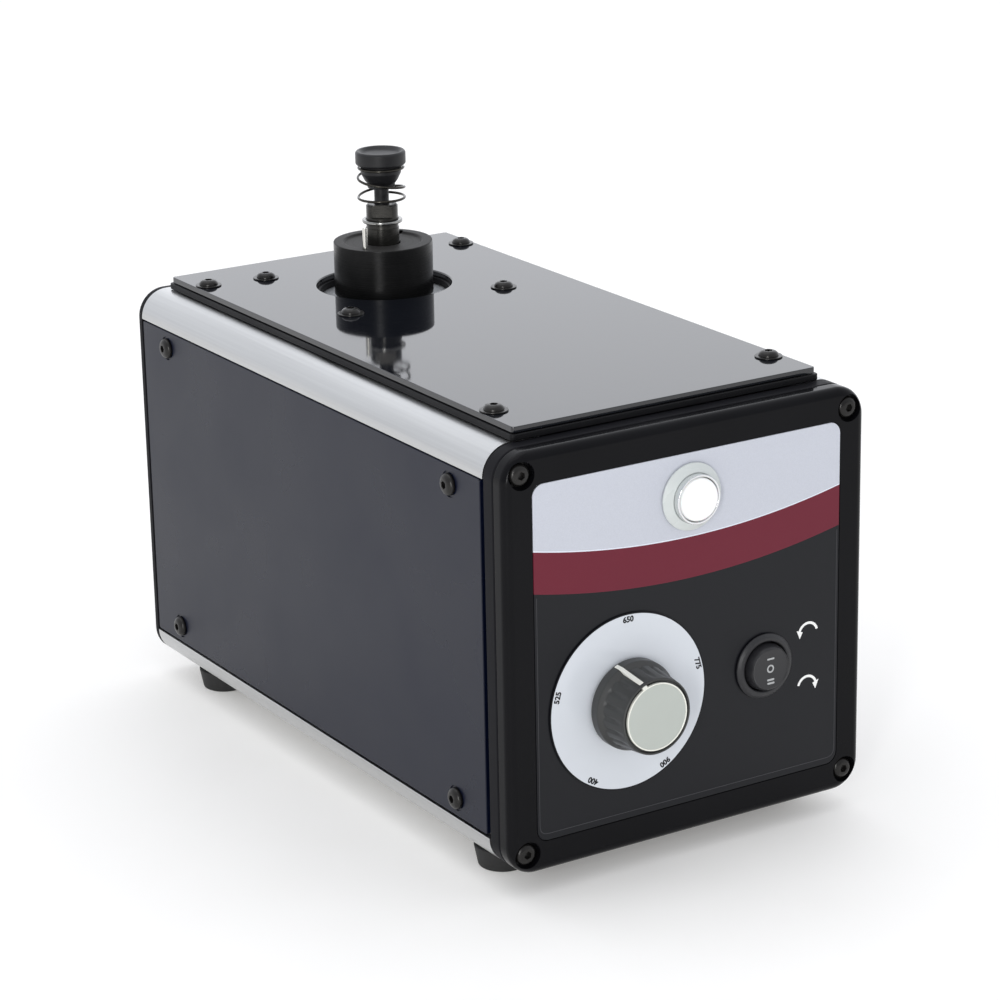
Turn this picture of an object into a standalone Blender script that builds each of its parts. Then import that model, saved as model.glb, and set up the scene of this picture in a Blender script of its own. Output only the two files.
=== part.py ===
"""Bench glass grinder: a boxed machine whose vertical spindle stands up through a black top plate.

Metres, +Z up, controls facing -Y. The origin is on the ground, under the middle of the whole box.
Most pieces hang from body_datum, an empty at the middle of the front face, so that their places read
as x to the right, y back from the front face and z up from mid-height. Controls hang from empties
whose +Z points out of the front. Spindle pieces hang from spindle_axis, at the top plate's upper face.
"""

import math

import bmesh
import bpy
from mathutils import Matrix

# Room that pieces in contact keep, so that no two solids share a face.
GAP = 0.0003

# Body box: front and rear panels closed over four corner rails.
BODY_W = 0.144
BODY_H = 0.146
BODY_D = 0.260
CORNER_R = 0.0105
FOOT_H = 0.008
BEZEL_D = 0.0068
BEZEL_EDGE_R = 0.0032
FRONT_PLATE_D = 0.0058
REAR_PANEL_D = 0.0026
RAIL_Y0 = BEZEL_D + FRONT_PLATE_D + 2 * GAP
RAIL_Y1 = BODY_D - REAR_PANEL_D - GAP

# Corner rails: a round nose outside, a boss for the end screws and a flange behind each skin.
RAIL_WALL = 0.0025
RAIL_BOSS = (0.0652, 0.0655)
RAIL_BOSS_WALL = 0.0042
RAIL_TOP_REACH = 0.050
RAIL_SIDE_REACH = 0.050

# Side panels, let in between the rails' noses.
PANEL_T = 0.0022
PANEL_RECESS = 0.0002
PANEL_HALF_H = 0.0618
PANEL_Y0 = RAIL_Y0 + 0.0019
PANEL_Y1 = RAIL_Y1 - 0.0002
FLANGE_X = BODY_W / 2 - PANEL_RECESS - PANEL_T - GAP

# Lips of the end panels, which close the slots between the rails' flanges.
LIP_IN = 0.0006
FRONT_LIP_D = 0.0040
REAR_LIP_D = 0.0060

# Top plate on its gasket.
GASKET_T = 0.0022
GASKET_HALF_W = 0.0613
PLATE_T = 0.0020
PLATE_HALF_W = 0.0604
PLATE_Y0 = 0.0128
PLATE_Y1 = 0.2534
GASKET_MARGIN = 0.0009
GASKET_Z = BODY_H / 2 + GAP + GASKET_T / 2
PLATE_TOP = BODY_H / 2 + GASKET_T + PLATE_T + 2 * GAP
PLATE_HOLE_R = 0.0252
GASKET_HOLE_R = 0.0240

# Button-head screws, M4. Those on the top plate have a flange under a narrower head.
SCREW_R = 0.0019
SCREW_HOLE_R = 0.0022
HEAD_R = 0.0038
HEAD_H = 0.0022
HEAD_EDGE = 0.0004
SOCKET_ACROSS = 0.0025
SOCKET_DEPTH = 0.0013
HEAD_SINK_R = 0.00475
FRONT_SINK_D = 0.0028
SIDE_SINK_R = 0.0045
SIDE_SINK_D = 0.0004
FRONT_SHANK = 0.020
SHORT_SHANK = 0.0065
TOP_SHANK = 0.0080
TOP_HEAD_R = 0.0035
TOP_FLANGE_R = 0.0049
TOP_FLANGE_T = 0.0005
RAIL_DRILL = 0.016
SIDE_SCREW_YS = (0.0342, 0.2373)
SIDE_SCREW_Z = 0.0553
TOP_SCREW_X = 0.0552
TOP_SCREW_YS = (0.0323, 0.2334)
MOTOR_SCREW_X = 0.0325
MOTOR_SCREW_YS = (0.1660, 0.2305)

# Spindle: heights are above the top plate's upper face.
HUB_Y = 0.198
HUB_R = 0.0184
HUB_TOP = 0.0164
HUB_BOTTOM = -0.0035
HUB_DISH_R = 0.0144
HUB_DISH_D = 0.0008
PIN_R = 0.0010
PIN_AT = (-0.0123, -0.0085)
PIN_PROUD = 0.008
PIN_DEPTH = 0.0082
SHAFT_R = 0.00615
COLLAR_R = 0.00592
COLLAR_BOTTOM = 0.0215
SHAFT_TOP_R = 0.00568
SHOULDER = 0.0231
SHAFT_TOP = 0.0304
SHAFT_BORE_R = 0.0030
SHAFT_BORE_BOTTOM = 0.0050
RING_R = 0.00745
RING_T = 0.0012
STEM_R = 0.0027
STEM_BOTTOM = 0.0110
KNOB_BOTTOM = 0.03645
KNOB_R = 0.0093
KNOB_STEP = 0.0449
KNOB_NECK_R = 0.0075
KNOB_ROOT_R = 0.0051
KNOB_TOP = 0.0503
SPRING_WIRE_R = 0.0004
SPRING_R = 0.00855
SPRING_GRIP_R = 0.0082
SPRING_TOP = 0.0439
SPRING_BOTTOM = 0.0326
SPRING_GRIP_TURNS = 0.75
SPRING_FALL_TURNS = 1.5
SPRING_FLAT_TURNS = 0.7
SPRING_POINTS_A_TURN = 16
SPRING_START = math.radians(-31)

# Motor, hanging from a flange under the top plate. Heights are from mid-height of the body.
FLANGE_HALF = 0.041
FLANGE_TOP = BODY_H / 2
FLANGE_T = 0.008
MOTOR_R = 0.0315
MOTOR_WALL = 0.003
MOTOR_BOTTOM = -0.032
MOTOR_FLOOR = 0.004
ROTOR_R = 0.0255
ROTOR_SPAN = (-0.012, 0.050)
UPPER_BEARING_R = 0.014
UPPER_BEARING_H = 0.0075
LOWER_BEARING_R = 0.011
LOWER_BEARING_H = 0.007
SHAFT_TAIL_R = 0.004

# Front controls: (x, z) of each axis and its panel hole.
SPEED_AT = (-0.0254, -0.0197)
SWITCH_AT = (0.0299, -0.0191)
BUTTON_AT = (0.0, 0.0468)
SPEED_HOLE_R = 0.0040
SWITCH_HOLE_R = 0.0105
BUTTON_HOLE_R = 0.0095
LABEL_HALF_W = 0.0614
LABEL_HALF_H = 0.0617
LABEL_R = 0.0042
LABEL_T = 0.0005
DIAL_R = 0.0310
DIAL_T = 0.0003
KNOB_FRONT = 0.0174
KNOB_RIM_R = 0.0133
KNOB_BODY_R = 0.0143
KNOB_BODY_BACK = 0.0068
SKIRT_R = 0.0156
SKIRT_FRONT = 0.0052
SKIRT_BACK = 0.0018
CAP_R = 0.01175
SPEED_SHAFT_R = 0.0030
SPEED_SHAFT_TIP = 0.0132
POTENTIOMETER_R = 0.0080
POTENTIOMETER_D = 0.0090
CAP_T = 0.0010
SWITCH_R = 0.0115
SWITCH_CUP_R = 0.0087
SWITCH_CUP_D = 0.0070
SWITCH_FRONT = 0.0020
SWITCH_TAIL = 0.0240
ROCKER_R = 0.0084
ROCKER_BACK = 0.0053
ROCKER_PIVOT = 0.0008
ROCKER_FRONT = 0.0050
BUTTON_R = 0.0116
BUTTON_CUP_R = 0.0077
BUTTON_CUP_D = 0.0049
BUTTON_TAIL = 0.0260
COLLAR_OUT_R = 0.0086
COLLAR_FRONT = 0.0050
LENS_R = 0.0074
LENS_FRONT = 0.0068
LENS_BACK = 0.0012

# Base, feet and what stands inside.
BASE_HALF_W = 0.054
BASE_T = 0.002
BASE_Z = -BODY_H / 2 + RAIL_WALL + GAP + BASE_T / 2
FOOT_R = 0.010
FOOT_TREAD_R = 0.0085
FOOT_X = 0.0566
FOOT_YS = (0.0298, 0.2320)
SUPPLY_SIZE = (0.055, 0.100, 0.033)
SUPPLY_AT = (-0.0225, 0.090)
BOARD_SIZE = (0.038, 0.090, 0.0016)
BOARD_AT = (0.031, 0.090)
BOARD_LIFT = 0.008

# Rear connections, as (x, z).
INLET_AT = (-0.028, -0.040)
INLET_BODY = (0.027, 0.0198)
INLET_FLANGE = (0.0307, 0.0228)
INLET_FLANGE_T = 0.003
INLET_DEPTH = 0.022
SOCKET = (0.024, 0.0165)
SOCKET_DEPTH_IN = 0.016
FUSE_AT = (0.028, -0.040)
FUSE_R = 0.0057
FUSE_CAP_R = 0.0068
REAR_REACH = 0.009
FUSE_DEPTH = 0.028

# Where the datum stands, so that the whole box is centred on the origin.
FRONT_Y = -(BODY_D + REAR_REACH - KNOB_FRONT) / 2
MID_Z = FOOT_H + BODY_H / 2

ROUND_STEPS = 36
FINE_STEPS = 24
SMALL_STEPS = 12

OUT_OF_FRONT = (math.pi / 2, 0, 0)
OUT_OF_RIGHT = (math.pi / 2, 0, math.pi / 2)


def new_collection(name):
    collection = bpy.data.collections.new(name)
    bpy.context.scene.collection.children.link(collection)
    return collection


def clear_scene():
    for obj in list(bpy.data.objects):
        bpy.data.objects.remove(obj)


def finish(name, colour, roughness, metallic=0.0):
    """A Principled material of one colour."""
    material = bpy.data.materials.new(name)
    material.use_nodes = True
    shader = material.node_tree.nodes["Principled BSDF"]
    shader.inputs["Base Color"].default_value = (*colour, 1)
    shader.inputs["Roughness"].default_value = roughness
    shader.inputs["Metallic"].default_value = metallic
    return material


def make_finishes():
    return {
        "gloss_black": finish("gloss_black", (0.012, 0.012, 0.013), 0.12),
        "frame_grey": finish("frame_grey", (0.05, 0.05, 0.055), 0.42),
        "rail_silver": finish("rail_silver", (0.62, 0.63, 0.65), 0.34, 1.0),
        "panel_slate": finish("panel_slate", (0.058, 0.061, 0.085), 0.45),
        "plate_black": finish("plate_black", (0.006, 0.006, 0.007), 0.03),
        "gasket_black": finish("gasket_black", (0.010, 0.010, 0.010), 0.65),
        "label_print": finish("label_print", (0.50, 0.51, 0.52), 0.38),
        "dial_white": finish("dial_white", (0.66, 0.67, 0.67), 0.35),
        "bright_steel": finish("bright_steel", (0.60, 0.60, 0.61), 0.18, 1.0),
        "blackened_steel": finish("blackened_steel", (0.05, 0.047, 0.042), 0.33, 0.9),
        "satin_steel": finish("satin_steel", (0.42, 0.42, 0.43), 0.38, 1.0),
        "knob_black": finish("knob_black", (0.014, 0.014, 0.015), 0.32),
        "cap_silver": finish("cap_silver", (0.48, 0.50, 0.48), 0.34, 0.5),
        "lens_white": finish("lens_white", (0.82, 0.83, 0.82), 0.22),
        "bezel_ivory": finish("bezel_ivory", (0.62, 0.63, 0.57), 0.35),
        "foot_rubber": finish("foot_rubber", (0.012, 0.012, 0.012), 0.75),
        "cast_grey": finish("cast_grey", (0.30, 0.31, 0.32), 0.5, 0.8),
        "board_green": finish("board_green", (0.02, 0.12, 0.05), 0.5),
    }


def empty(name, parent, location, rotation=(0, 0, 0)):
    obj = bpy.data.objects.new(name, None)
    PARTS.objects.link(obj)
    return place(obj, parent, location, rotation)


def place(obj, parent, location=(0, 0, 0), rotation=(0, 0, 0)):
    obj.parent = parent
    obj.location = location
    obj.rotation_euler = rotation
    return obj


def new_object(name, mesh, finish_name=None):
    """An object for a part, or for a cutter when it has no finish."""
    obj = bpy.data.objects.new(name, mesh)
    if finish_name is None:
        CUTTERS.objects.link(obj)
        obj.hide_render = True
        obj.display_type = "WIRE"
        return obj
    PARTS.objects.link(obj)
    if not mesh.materials:
        mesh.materials.append(FINISHES[finish_name])
    return obj


def turned(name, profile, finish_name, steps=ROUND_STEPS, ring=False):
    """A profile of (radius, height) points turned about Z. Its outer side runs from top to bottom, and
    it starts and ends on the axis unless it is the closed section of a ring."""
    edges = [(i, i + 1) for i in range(len(profile) - 1)]
    if ring:
        edges.append((len(profile) - 1, 0))
    mesh = bpy.data.meshes.new(name)
    mesh.from_pydata([(radius, 0, height) for radius, height in profile], edges, [])
    obj = new_object(name, mesh, finish_name)
    turn = obj.modifiers.new("Turn", "SCREW")
    turn.steps = steps
    turn.render_steps = steps
    turn.use_merge_vertices = True
    turn.merge_threshold = 0.00001
    turn.use_smooth_shade = True
    return obj


def baked(obj):
    """The mesh that an object's modifiers, or its curve, make, with loose caps welded on."""
    graph = bpy.context.evaluated_depsgraph_get()
    mesh = bpy.data.meshes.new_from_object(obj.evaluated_get(graph))
    work = bmesh.new()
    work.from_mesh(mesh)
    bmesh.ops.remove_doubles(work, verts=work.verts, dist=0.000001)
    bmesh.ops.recalc_face_normals(work, faces=work.faces)
    work.to_mesh(mesh)
    work.free()
    return mesh


def flat(name, outlines, thickness, finish_name=None):
    """The first outline filled, with the others as holes, as deep as thickness about z = 0."""
    curve = bpy.data.curves.new(name, "CURVE")
    curve.dimensions = "2D"
    curve.fill_mode = "BOTH"
    curve.extrude = thickness / 2
    for outline in outlines:
        spline = curve.splines.new("POLY")
        spline.points.add(len(outline) - 1)
        for point, (x, y) in zip(spline.points, outline):
            point.co = (x, y, 0, 1)
        spline.use_cyclic_u = True
    drawn = bpy.data.objects.new(name + "_outline", curve)
    CUTTERS.objects.link(drawn)
    bpy.context.view_layer.update()
    mesh = baked(drawn)
    mesh.name = name
    bpy.data.objects.remove(drawn)
    return new_object(name, mesh, finish_name)


def arc(centre, radius, start, end, steps):
    """Points along an arc, angles in degrees, both ends included."""
    angles = [math.radians(start + (end - start) * i / steps) for i in range(steps + 1)]
    return [(centre[0] + radius * math.cos(a), centre[1] + radius * math.sin(a)) for a in angles]


def circle(centre, radius, steps=SMALL_STEPS):
    return arc(centre, radius, 0, 360, steps)[:-1]


def rounded_box(half_w, half_h, radius, middle=(0, 0), steps=6):
    """The outline of a rectangle with round corners."""
    outline = []
    for corner, (sx, sy) in enumerate(((1, 1), (-1, 1), (-1, -1), (1, -1))):
        centre = (middle[0] + sx * (half_w - radius), middle[1] + sy * (half_h - radius))
        outline += arc(centre, radius, 90 * corner, 90 * corner + 90, steps)
    return outline


def corners(x, z):
    """A point and its mirror images in the other three quarters."""
    return [(sx * x, sz * z) for sx in (-1, 1) for sz in (-1, 1)]


def pegs(name, centres, radius, length, axis="Z", steps=SMALL_STEPS):
    """A cutter of equal cylinders, each centred on its own point."""
    turns = {
        "X": Matrix.Rotation(math.pi / 2, 4, "Y"),
        "Y": Matrix.Rotation(math.pi / 2, 4, "X"),
        "Z": Matrix.Identity(4),
    }
    work = bmesh.new()
    for centre in centres:
        bmesh.ops.create_cone(
            work,
            cap_ends=True,
            segments=steps,
            radius1=radius,
            radius2=radius,
            depth=length,
            matrix=Matrix.Translation(centre) @ turns[axis],
        )
    mesh = bpy.data.meshes.new(name)
    work.to_mesh(mesh)
    work.free()
    return new_object(name, mesh)


def join(obj, other, operation="DIFFERENCE"):
    """Cuts the other object out of obj, or joins it on with UNION."""
    boolean = obj.modifiers.new(other.name, "BOOLEAN")
    boolean.operation = operation
    boolean.solver = "EXACT"
    boolean.object = other


def box(name, size, finish_name=None):
    """A box about its own middle."""
    work = bmesh.new()
    bmesh.ops.create_cube(work, size=1, matrix=Matrix.Diagonal((*size, 1)))
    mesh = bpy.data.meshes.new(name)
    work.to_mesh(mesh)
    work.free()
    return new_object(name, mesh, finish_name)


def panel_outline():
    return rounded_box(BODY_W / 2, BODY_H / 2, CORNER_R, steps=8)


def control_holes():
    return [
        circle(SPEED_AT, SPEED_HOLE_R),
        circle(SWITCH_AT, SWITCH_HOLE_R, FINE_STEPS),
        circle(BUTTON_AT, BUTTON_HOLE_R, FINE_STEPS),
    ]


def rounded_slab(name, size, corner_r, edge_r, finish_name):
    """A box along Z with round corners, whose upper face's edge is rounded too."""
    work = bmesh.new()
    bmesh.ops.create_cube(work, size=1, matrix=Matrix.Diagonal((*size, 1)))
    upright = [edge for edge in work.edges if edge.verts[0].co.z * edge.verts[1].co.z < 0]
    bmesh.ops.bevel(work, geom=upright, offset=corner_r, segments=8, profile=0.5, affect="EDGES")
    rim = [edge for edge in work.edges if all(vert.co.z > size[2] * 0.49 for vert in edge.verts)]
    bmesh.ops.bevel(work, geom=rim, offset=edge_r, segments=4, profile=0.5, affect="EDGES")
    mesh = bpy.data.meshes.new(name)
    work.to_mesh(mesh)
    work.free()
    return new_object(name, mesh, finish_name)


def make_front_bezel(datum):
    """The glossy front moulding, with a shallow pocket for the label and a sink round each screw."""
    bezel = rounded_slab("front_bezel", (BODY_W, BODY_H, BEZEL_D), CORNER_R, BEZEL_EDGE_R, "gloss_black")
    place(bezel, datum, (0, BEZEL_D / 2, 0), OUT_OF_FRONT)
    pocket_outline = rounded_box(LABEL_HALF_W + GAP, LABEL_HALF_H + GAP, LABEL_R + GAP)
    pocket = flat("label_pocket", [pocket_outline], 2 * (LABEL_T + GAP))
    join(bezel, place(pocket, datum, (0, 0, 0), OUT_OF_FRONT))
    screws = [(x, 0, z) for x, z in corners(*RAIL_BOSS)]
    through = 4 * BEZEL_D
    cutters = [
        pegs("front_sinks", screws, HEAD_SINK_R, 2 * FRONT_SINK_D, "Y", FINE_STEPS),
        pegs("front_drills", screws, SCREW_HOLE_R, through, "Y"),
    ]
    openings = ((SPEED_AT, SPEED_HOLE_R), (SWITCH_AT, SWITCH_HOLE_R), (BUTTON_AT, BUTTON_HOLE_R))
    for number, ((x, z), radius) in enumerate(openings, 1):
        cutters.append(pegs(f"control_hole_{number}", [(x, 0, z)], radius, through, "Y", FINE_STEPS))
    for cutter in cutters:
        join(bezel, place(cutter, datum))


def make_front_plate(datum):
    """The structural plate behind the bezel, which the rails are screwed to, with a lip behind each panel."""
    screw_holes = [circle(at, SCREW_HOLE_R) for at in corners(*RAIL_BOSS)]
    plate = flat("front_plate", [panel_outline()] + control_holes() + screw_holes, FRONT_PLATE_D, "frame_grey")
    place(plate, datum, (0, BEZEL_D + GAP + FRONT_PLATE_D / 2, 0), OUT_OF_FRONT)
    back = BEZEL_D + GAP + FRONT_PLATE_D
    lip_size = (RAIL_WALL, FRONT_LIP_D + LIP_IN, 2 * (RAIL_SIDE_REACH - GAP))
    for sx, side in ((-1, "left"), (1, "right")):
        lip = box(f"front_{side}_lip", lip_size)
        place(lip, datum, (sx * (FLANGE_X - RAIL_WALL / 2), back + (FRONT_LIP_D - LIP_IN) / 2, 0))
        join(plate, lip, "UNION")


def make_rear_panel(datum):
    """The rear sheet, cut out for the mains inlet and the fuse holder, with a lip under the gasket."""
    holes = [circle(at, SCREW_HOLE_R) for at in corners(*RAIL_BOSS)]
    holes.append(rounded_box(INLET_BODY[0] / 2 + GAP, INLET_BODY[1] / 2 + GAP, 0.001, INLET_AT, 3))
    holes.append(circle(FUSE_AT, FUSE_R + GAP, FINE_STEPS))
    panel = flat("rear_panel", [panel_outline()] + holes, REAR_PANEL_D, "frame_grey")
    place(panel, datum, (0, BODY_D - REAR_PANEL_D / 2, 0), OUT_OF_FRONT)
    lip = box("rear_top_lip", (2 * (RAIL_TOP_REACH - GAP), REAR_LIP_D + LIP_IN, RAIL_WALL))
    front = BODY_D - REAR_PANEL_D
    place(lip, datum, (0, front - (REAR_LIP_D - LIP_IN) / 2, BODY_H / 2 - RAIL_WALL / 2 - GAP))
    join(panel, lip, "UNION")


def rail_outline(sx, sz):
    """The rail's section in the corner that sx and sz point to."""
    nose = (BODY_W / 2 - CORNER_R, BODY_H / 2 - CORNER_R)
    inner_x = FLANGE_X - RAIL_WALL
    inner_z = BODY_H / 2 - RAIL_WALL
    web = sum(RAIL_BOSS) - RAIL_BOSS_WALL * math.sqrt(2)
    section = [(RAIL_TOP_REACH, BODY_H / 2)]
    section += arc(nose, CORNER_R, 90, 0, 8)
    section += [
        (FLANGE_X, nose[1]),
        (FLANGE_X, RAIL_SIDE_REACH),
        (inner_x, RAIL_SIDE_REACH),
        (inner_x, web - inner_x),
        (web - inner_z, inner_z),
        (RAIL_TOP_REACH, inner_z),
    ]
    return [(sx * x, sz * z) for x, z in section]


def make_rail_drills(datum):
    """Cutters for the side screws, the top plate's corner screws and the foot screws."""
    side = [(sx * FLANGE_X, y, sz * SIDE_SCREW_Z) for sx in (-1, 1) for sz in (-1, 1) for y in SIDE_SCREW_YS]
    top = [(sx * TOP_SCREW_X, y, BODY_H / 2) for sx in (-1, 1) for y in TOP_SCREW_YS]
    foot = [(sx * FOOT_X, y, -BODY_H / 2) for sx in (-1, 1) for y in FOOT_YS]
    return [
        place(pegs("side_drills", side, SCREW_HOLE_R, RAIL_DRILL, axis="X"), datum),
        place(pegs("top_drills", top, SCREW_HOLE_R, RAIL_DRILL), datum),
        place(pegs("foot_drills", foot, SCREW_HOLE_R, RAIL_DRILL), datum),
    ]


def make_rails(datum):
    """Four corner rails between the front plate and the rear panel."""
    side_drills, top_drills, foot_drills = make_rail_drills(datum)
    for sx, side in ((-1, "left"), (1, "right")):
        for sz, level in ((-1, "lower"), (1, "upper")):
            boss = circle((sx * RAIL_BOSS[0], sz * RAIL_BOSS[1]), SCREW_HOLE_R)
            name = f"{level}_{side}_rail"
            rail = flat(name, [rail_outline(sx, sz), boss], RAIL_Y1 - RAIL_Y0, "rail_silver")
            place(rail, datum, (0, (RAIL_Y0 + RAIL_Y1) / 2, 0), OUT_OF_FRONT)
            join(rail, side_drills)
            join(rail, top_drills if sz > 0 else foot_drills)


def make_side_panels(datum):
    """The two side sheets, each with a shallow ring sunk round its screws."""
    half_d = (PANEL_Y1 - PANEL_Y0) / 2
    mid_y = (PANEL_Y0 + PANEL_Y1) / 2
    places = [(y - mid_y, sz * SIDE_SCREW_Z) for y in SIDE_SCREW_YS for sz in (-1, 1)]
    outlines = [rounded_box(half_d, PANEL_HALF_H, 0.0006, steps=2)]
    outlines += [circle(at, SCREW_HOLE_R) for at in places]
    outer_x = BODY_W / 2 - PANEL_RECESS
    for sx, side in ((-1, "left"), (1, "right")):
        panel = flat(f"{side}_side_panel", outlines, PANEL_T, "panel_slate")
        place(panel, datum, (sx * (outer_x - PANEL_T / 2), mid_y, 0), OUT_OF_RIGHT)
        centres = [(sx * outer_x, mid_y + y, z) for y, z in places]
        sinks = pegs(f"{side}_side_sinks", centres, SIDE_SINK_R, 2 * SIDE_SINK_D, axis="X", steps=FINE_STEPS)
        join(panel, place(sinks, datum))


def make_top(datum):
    """The black top plate and the darker sheet that it lies on, both open round the hub."""
    screws = [(sx * TOP_SCREW_X, y) for sx in (-1, 1) for y in TOP_SCREW_YS]
    screws += [(sx * MOTOR_SCREW_X, y) for sx in (-1, 1) for y in MOTOR_SCREW_YS]
    middle = (0, (PLATE_Y0 + PLATE_Y1) / 2)
    half_d = (PLATE_Y1 - PLATE_Y0) / 2
    plate_lines = [rounded_box(PLATE_HALF_W, half_d, 0.0012, middle, 3)]
    plate_lines.append(circle((0, HUB_Y), PLATE_HOLE_R, ROUND_STEPS))
    plate_lines += [circle(at, SCREW_HOLE_R) for at in screws]
    plate = flat("top_plate", plate_lines, PLATE_T, "plate_black")
    place(plate, datum, (0, 0, PLATE_TOP - PLATE_T / 2))
    gasket_lines = [rounded_box(GASKET_HALF_W, half_d + GASKET_MARGIN, 0.0015, middle, 3)]
    gasket_lines.append(circle((0, HUB_Y), GASKET_HOLE_R, ROUND_STEPS))
    gasket_lines += [circle(at, SCREW_HOLE_R) for at in screws]
    gasket = flat("top_gasket", gasket_lines, GASKET_T, "gasket_black")
    place(gasket, datum, (0, 0, GASKET_Z))


def screw_mesh(name, shank, head_r, flange_r, flange_t):
    """A button-head screw along Z: the head's underside is at z = 0 and its hex socket is cut."""
    crown = head_r / 2
    profile = [(0, HEAD_H)]
    for step in range(3):
        angle = math.radians(90 - 75 * step / 2)
        rise = flange_t + (HEAD_H - flange_t) * math.sin(angle)
        profile.append((crown + (head_r - crown) * math.cos(angle), rise))
    profile += [(head_r, flange_t)] if flange_r == head_r else [(head_r, flange_t + 0.0002), (flange_r, flange_t)]
    profile += [(flange_r, 0), (SCREW_R, 0), (SCREW_R, -shank), (0, -shank)]
    blank = turned(name + "_blank", profile, "blackened_steel", SMALL_STEPS)
    corner_r = SOCKET_ACROSS / math.sqrt(3)
    socket = pegs(name + "_socket", [(0, 0, HEAD_H)], corner_r, 2 * SOCKET_DEPTH, steps=6)
    join(blank, socket)
    bpy.context.view_layer.update()
    mesh = baked(blank)
    mesh.name = name
    bpy.data.objects.remove(blank)
    bpy.data.objects.remove(socket)
    mesh.materials.clear()
    return mesh


def make_screws(datum):
    """Every outer screw but the rear and foot ones, each with its head just off its seat."""
    long_screw = screw_mesh("long_screw", FRONT_SHANK, HEAD_R, HEAD_R, HEAD_EDGE)
    short_screw = screw_mesh("short_screw", SHORT_SHANK, HEAD_R, HEAD_R, HEAD_EDGE)
    top_screw = screw_mesh("flange_screw", TOP_SHANK, TOP_HEAD_R, TOP_FLANGE_R, TOP_FLANGE_T)
    places = {}
    for number, (x, z) in enumerate(corners(*RAIL_BOSS), 1):
        seat = (x, FRONT_SINK_D - GAP, z)
        places[f"front_screw_{number}"] = (long_screw, seat, OUT_OF_FRONT)
    outer_x = BODY_W / 2 - PANEL_RECESS - SIDE_SINK_D + GAP
    for sx, side in ((-1, "left"), (1, "right")):
        spots = [(y, sz * SIDE_SCREW_Z) for y in SIDE_SCREW_YS for sz in (-1, 1)]
        for number, (y, z) in enumerate(spots, 1):
            turn = (0, sx * math.pi / 2, 0)
            places[f"{side}_side_screw_{number}"] = (short_screw, (sx * outer_x, y, z), turn)
    seat_z = PLATE_TOP + GAP
    for x, ys, kind in ((TOP_SCREW_X, TOP_SCREW_YS, "top"), (MOTOR_SCREW_X, MOTOR_SCREW_YS, "motor")):
        spots = [(sx * x, y) for sx in (-1, 1) for y in ys]
        for number, (px, y) in enumerate(spots, 1):
            places[f"{kind}_screw_{number}"] = (top_screw, (px, y, seat_z), (0, 0, 0))
    for name, (mesh, location, rotation) in places.items():
        place(new_object(name, mesh, "blackened_steel"), datum, location, rotation)


def make_feet(datum):
    """Four tapered rubber feet, hollow below for their screws."""
    top = -GAP
    sole = -FOOT_H
    profile = [
        (SCREW_HOLE_R, top),
        (FOOT_R - 0.0005, top),
        (FOOT_R, top - 0.0006),
        (FOOT_TREAD_R, sole + 0.0006),
        (FOOT_TREAD_R - 0.0006, sole),
        (0.0045, sole),
        (0.0045, sole + 0.003),
        (SCREW_HOLE_R, sole + 0.003),
    ]
    spots = [(sx * FOOT_X, y) for y in FOOT_YS for sx in (-1, 1)]
    names = ("front_left_foot", "front_right_foot", "rear_left_foot", "rear_right_foot")
    for name, (x, y) in zip(names, spots):
        foot = turned(name, profile, "foot_rubber", FINE_STEPS, ring=True)
        place(foot, datum, (x, y, -BODY_H / 2))


def make_base(datum):
    """The sheet that closes the bottom, lying on the lower rails' flanges."""
    middle = (0, (RAIL_Y0 + RAIL_Y1) / 2)
    half_d = (RAIL_Y1 - RAIL_Y0) / 2 - GAP
    base = flat("base_plate", [rounded_box(BASE_HALF_W, half_d, 0.001, middle, 2)], BASE_T, "frame_grey")
    place(base, datum, (0, 0, BASE_Z))


def make_electrics(datum):
    """The power supply and the speed controller's board, both standing on the base plate."""
    floor = BASE_Z + BASE_T / 2 + GAP
    supply = box("power_supply", SUPPLY_SIZE, "cast_grey")
    place(supply, datum, (*SUPPLY_AT, floor + SUPPLY_SIZE[2] / 2))
    supply_edge = supply.modifiers.new("Edge", "BEVEL")
    supply_edge.width = 0.0012
    supply_edge.segments = 2
    board = box("control_board", BOARD_SIZE, "board_green")
    place(board, datum, (*BOARD_AT, floor + BOARD_LIFT + BOARD_SIZE[2] / 2))
    reach_x = BOARD_SIZE[0] / 2 - 0.005
    reach_y = BOARD_SIZE[1] / 2 - 0.005
    height = BOARD_LIFT + BOARD_SIZE[2] / 2
    spots = [(BOARD_AT[0] + x, BOARD_AT[1] + y, floor + height / 2) for x, y in corners(reach_x, reach_y)]
    join(board, place(pegs("board_posts", spots, 0.003, height), datum), "UNION")


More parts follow.
